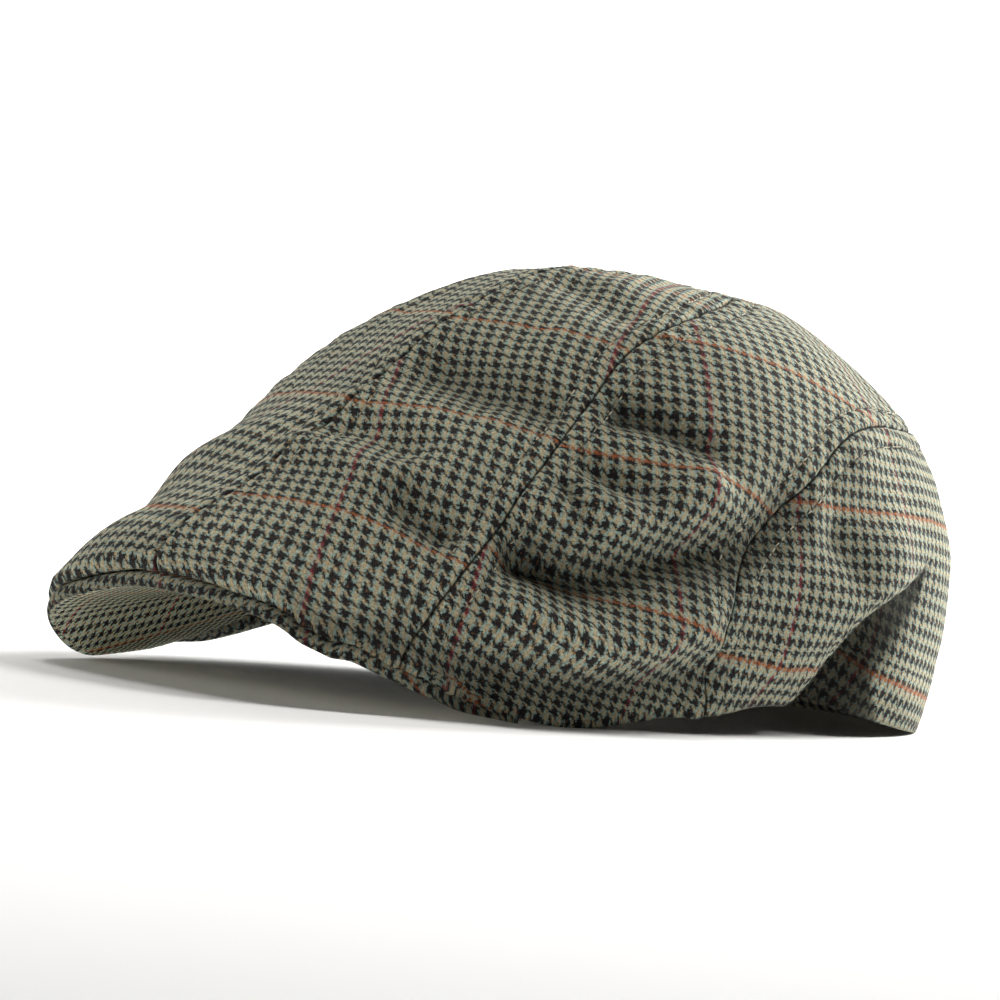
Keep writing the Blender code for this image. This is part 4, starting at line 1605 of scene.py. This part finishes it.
    def soften(self, nodes: Nodes, uv: object, cloth: object) -> bpy.types.NodeSocket:
        """Blend loose fibres, uneven dye, and painted shade and light into the check.

        Args:
            nodes: The material's nodes.
            uv: The cloth's places.
            cloth: Colour of the check.

        Returns:
            The softened colour.
        """
        cloth = nodes.mix(nodes.ranged(uv, self.fibres), cloth, colour(*self.fluff))
        cloth = nodes.mix(nodes.ranged(uv, self.flecks), cloth, colour(*self.fleck))
        shade = nodes.ranged(uv, self.uneven)
        patch = nodes.ranged(uv, self.patches)
        # The seam attribute holds painted shade in the seams, on the rows of stitches, in the folds
        # and on the peak's edge strip, and painted light on the peak's underside.
        seam = nodes.add("ShaderNodeAttribute", attribute_name="seam").outputs["Fac"]
        clear = nodes.math("MULTIPLY_ADD", seam, -self.painted_shade_strength, 1.0)
        both = nodes.math("MULTIPLY", nodes.math("MULTIPLY", shade, patch), clear)
        grey = nodes.add("ShaderNodeCombineColor")
        for socket in grey.inputs[:3]:
            nodes.join(both, socket)
        return nodes.mix(1.0, cloth, grey.outputs[0], "MULTIPLY")

    def yarn_height(
        self, nodes: Nodes, fractions: list, warp_on_top: object
    ) -> bpy.types.NodeSocket:
        """Rounded height of the yarn that lies on top."""
        warp, weft = (
            nodes.math("SINE", nodes.math("MULTIPLY", fraction, math.pi)) for fraction in fractions
        )
        height = nodes.math("MULTIPLY", warp, warp_on_top)
        return nodes.math("MULTIPLY_ADD", weft, nodes.math("SUBTRACT", 1.0, warp_on_top), height)


@dataclass(frozen=True)
class ThreadFinish:
    """Sewing thread of the topstitching."""

    name: str = "sewing_thread"
    light: tuple = (0.66, 0.61, 0.45)
    dark: tuple = (0.02, 0.02, 0.02)
    patches: Noise = Noise(260.0, 1.0, 0.5, 0.42, 0.58)
    roughness: float = 0.7

    def make(self) -> bpy.types.Material:
        """Build the thread's nodes."""
        nodes = Nodes(self.name)
        place = nodes.add("ShaderNodeTexCoord").outputs["Object"]
        share = nodes.ranged(place, self.patches)
        thread = nodes.mix(share, colour(*self.dark), colour(*self.light))
        nodes.join(thread, nodes.shader.inputs["Base Color"])
        nodes.shader.inputs["Roughness"].default_value = self.roughness
        return nodes.material


@dataclass(frozen=True)
class FloorFinish:
    """Pale matt floor and wall."""

    name: str = "pale_floor"
    tint: tuple = (0.88, 0.88, 0.88)
    roughness: float = 0.9

    def make(self) -> bpy.types.Material:
        """Build the floor's nodes."""
        nodes = Nodes(self.name)
        nodes.shader.inputs["Base Color"].default_value = colour(*self.tint)
        nodes.shader.inputs["Roughness"].default_value = self.roughness
        nodes.shader.inputs["Specular IOR Level"].default_value = 0.0
        return nodes.material


class Lamp(NamedTuple):
    """A soft light: its place in the camera's directions, its side, watts and tint."""

    name: str
    spot: tuple
    size: float
    power: float
    tint: tuple


LAMPS = (
    Lamp("top", (0.1, 1.7, -0.1), 0.6, 10.0, (1.0, 0.98, 0.94)),
    Lamp("top_right", (1.1, 1.2, -0.2), 0.6, 16.0, (1.0, 0.99, 0.96)),
    Lamp("back_right", (1.2, 0.6, -1.2), 0.6, 64.0, (1.0, 1.0, 0.99)),
    Lamp("left", (-1.6, 0.4, 0.0), 0.8, 6.5, (1.0, 0.98, 0.94)),
    Lamp("low_left", (-1.2, 0.0, 0.9), 0.3, 5.0, (1.0, 0.97, 0.92)),
)


@dataclass
class Studio:
    """Pale floor, soft lights and the camera."""

    aim: tuple = (0.0, -0.0115, 0.0583)
    right: tuple = (0.6439, 0.7583, 0.1013)
    up: tuple = (-0.0989, -0.0488, 0.9939)
    back: tuple = (0.7587, -0.6500, 0.0436)
    distance: float = 2.5
    frame_width: float = 0.293
    sensor: float = 36.0
    clip: tuple = (0.1, 50.0)
    lamp_lift: float = 0.05
    floor_from: float = -4.0
    floor_to: float = 2.2
    floor_side: float = 6.0
    curve: float = 1.6
    curve_rows: int = 24
    wall_lamp: tuple = (5.0, 0.8)
    wall_power: float = 260.0
    wall_spot: tuple = (1.6, 2.4)
    wall_tilt: float = 0.45
    sky: tuple = (0.96, 0.98, 1.0)
    sky_strength: float = 0.05

    def place(self, right: float, up: float, back: float) -> Vector:
        """Point given in the camera's directions from where it aims."""
        point = Vector(self.aim) + right * Vector(self.right)
        return point + up * Vector(self.up) + back * Vector(self.back)

    def add_camera(self) -> None:
        """Camera at the photograph's angle."""
        data = bpy.data.cameras.new("camera")
        data.sensor_width = self.sensor
        data.lens = self.sensor * self.distance / self.frame_width
        data.clip_start, data.clip_end = self.clip
        camera = bpy.data.objects.new("camera", data)
        bpy.context.collection.objects.link(camera)
        axes = Matrix((self.right, self.up, self.back)).transposed().to_4x4()
        camera.matrix_world = Matrix.Translation(self.place(0.0, 0.0, self.distance)) @ axes
        bpy.context.scene.camera = camera

    def hang(
        self, name: str, sides: tuple, power: float, tint: tuple, place: Vector, backward: Vector
    ) -> None:
        """Hang a soft light.

        Args:
            name: The light's name.
            sides: Its width and height.
            power: Watts.
            tint: Its colour.
            place: Where it hangs.
            backward: The way from what it faces.
        """
        data = bpy.data.lights.new(name, "AREA")
        data.shape = "RECTANGLE"
        data.size, data.size_y = sides
        data.energy = power
        data.color = tint
        light = bpy.data.objects.new(name, data)
        bpy.context.collection.objects.link(light)
        light.location = place
        light.rotation_euler = backward.to_track_quat("Z", "Y").to_euler()

    def add_lights(self) -> None:
        """Lamps round the cap, and a wide one that keeps the wall white."""
        for lamp in LAMPS:
            place = self.place(*lamp.spot)
            place.z = max(place.z, 0.5 * lamp.size + self.lamp_lift)
            backward = place - Vector(self.aim)
            self.hang(lamp.name, (lamp.size,) * 2, lamp.power, lamp.tint, place, backward)
        ahead = -Vector((self.back[0], self.back[1], 0.0)).normalized()
        place = ahead * self.wall_spot[0] + Vector((0.0, 0.0, self.wall_spot[1]))
        backward = -ahead + Vector((0.0, 0.0, self.wall_tilt))
        self.hang("wall", self.wall_lamp, self.wall_power, (1.0, 1.0, 1.0), place, backward)

    def add_floor(self) -> None:
        """Floor that curves up into a wall far behind the cap."""
        ahead = unit(np.array([-self.back[0], -self.back[1], 0.0]))
        side = np.array([-ahead[1], ahead[0], 0.0])
        bend = np.linspace(0.0, 0.5 * np.pi, self.curve_rows)
        curved = self.floor_to + self.curve * np.sin(bend)
        far = np.concatenate([[self.floor_from, 0.0], curved, [self.floor_to + self.curve]])
        raised = self.curve * (1.0 - np.cos(bend))
        high = np.concatenate([[0.0, 0.0], raised, [self.floor_side]])
        across = np.linspace(-self.floor_side, self.floor_side, 5)
        points = far[:, None, None] * ahead + across[None, :, None] * side
        points = points + high[:, None, None] * np.array([0.0, 0.0, 1.0])
        floor = cloth_grid("floor_and_wall", points)
        if vertex_normals(floor)[0][2] < 0.0:
            floor.data.flip_normals()
        floor.data.shade_smooth()
        set_material(floor, FloorFinish().make())

    def build(self) -> None:
        """Set the whole studio up."""
        self.add_floor()
        world = bpy.data.worlds.new("studio")
        world.use_nodes = True
        background = world.node_tree.nodes["Background"]
        background.inputs["Color"].default_value = colour(*self.sky)
        background.inputs["Strength"].default_value = self.sky_strength
        bpy.context.scene.world = world
        bpy.context.scene.view_settings.view_transform = "Standard"
        self.add_lights()
        self.add_camera()


FRONT_LEFT_GRAIN = Grain(
    warp_degrees=-60.0,
    weft_degrees=13.5,
    crimson=(-0.130, -0.065, 0.0005, 0.066),
    rust=(0.052, 0.0985, 0.1416, 0.193, 0.247),
)
FRONT_RIGHT_GRAIN = Grain(
    warp_degrees=-120.0,
    weft_degrees=-10.0,
    crimson=(-0.081, -0.016, 0.049, 0.114),
    rust=(0.052, 0.0985, 0.1425, 0.2045, 0.262),
)
CROWN_GRAIN = Grain(
    warp_degrees=0.0,
    weft_degrees=90.0,
    crimson=(-0.0875, -0.0235, 0.0402, 0.107),
    rust=(-0.190, -0.138, -0.086, -0.034, 0.018, 0.070, 0.122, 0.174),
    bend=0.967,
    fan=0.25,
)
BACK_GRAIN = Grain(
    warp_degrees=-98.0,
    weft_degrees=-5.0,
    crimson=(-0.157, -0.106, -0.055, -0.004, 0.047, 0.098, 0.149),
    rust=(-0.0145, 0.036, 0.0865, 0.137),
)


class FlatCap:
    """The whole cap, built piece by piece."""

    stitch_plan: dict[str, tuple] = {
        "centre": ("front_left_cloth", "front_right_cloth"),
        "side_left": ("front_left_cloth", "crown_cloth"),
        "side_right": ("front_right_cloth", "crown_cloth"),
        "back": ("crown_cloth", "back_cloth"),
    }
    top_end: float = 0.010
    rim_end: float = 0.034

    def __init__(self) -> None:
        """Draw the crown's surface and its seams."""
        self.shape = CrownShape()
        self.seams = Seams(self.shape)
        self.pieces: dict[str, bpy.types.Object] = {}

    def panels(self) -> tuple[Panel, ...]:
        """The crown's four panels."""
        seams = self.seams
        return (
            FrontPanel(
                "front_left_cloth", "front_panel_left", "front_cloth", seams,
                ("centre", "side_left"), FRONT_LEFT_GRAIN, seed=1,
            ),
            FrontPanel(
                "front_right_cloth", "front_panel_right", "front_cloth", seams,
                ("centre", "side_right"), FRONT_RIGHT_GRAIN, seed=2, side=Side.RIGHT,
            ),
            CrownPanel(
                "crown_cloth", "crown_panel", "crown_cloth", seams,
                ("side_left", "side_right", "back"), CROWN_GRAIN, seed=3,
            ),
            BackPanel(
                "back_cloth", "back_panel", "back_cloth", seams, ("back",), BACK_GRAIN, seed=4
            ),
        )

    def build_pieces(self) -> None:
        """Make and dress the crown's four panels and the peak."""
        finish = DogtoothCloth("dogtooth_cloth").make()
        for part in (*self.panels(), Peak(self.shape)):
            piece = part.build()
            set_material(piece, finish)
            self.pieces[part.name] = piece
            LOG.info("%s: %d faces", part.name, len(piece.data.polygons))

    def build_stitches(self) -> None:
        """Sew the rows of stitches on both sides of every seam."""
        sewing = Topstitching(self.seams)
        finish = ThreadFinish().make()
        for seed, (seam, panels) in enumerate(self.stitch_plan.items()):
            end = run_lengths(self.seams.lines[seam])[-1] - self.rim_end
            start = self.rim_end if seam == "back" else self.top_end
            rows = []
            for panel in panels:
                piece = self.pieces[panel]
                rows += sewing.row(seam, piece, len(piece.data.vertices) // 2, start, end)
            stitches = sewing.sew(f"stitches_{seam}", rows, seed)
            set_material(stitches, finish)
            LOG.info("stitches_%s: %d stitches", seam, len(rows))


def main() -> None:
    """Build the cap and its studio."""
    logging.basicConfig(level=logging.INFO, format="%(message)s")
    cap = FlatCap()
    cap.build_pieces()
    cap.build_stitches()
    Studio().build()


if __name__ == "__main__":
    main()
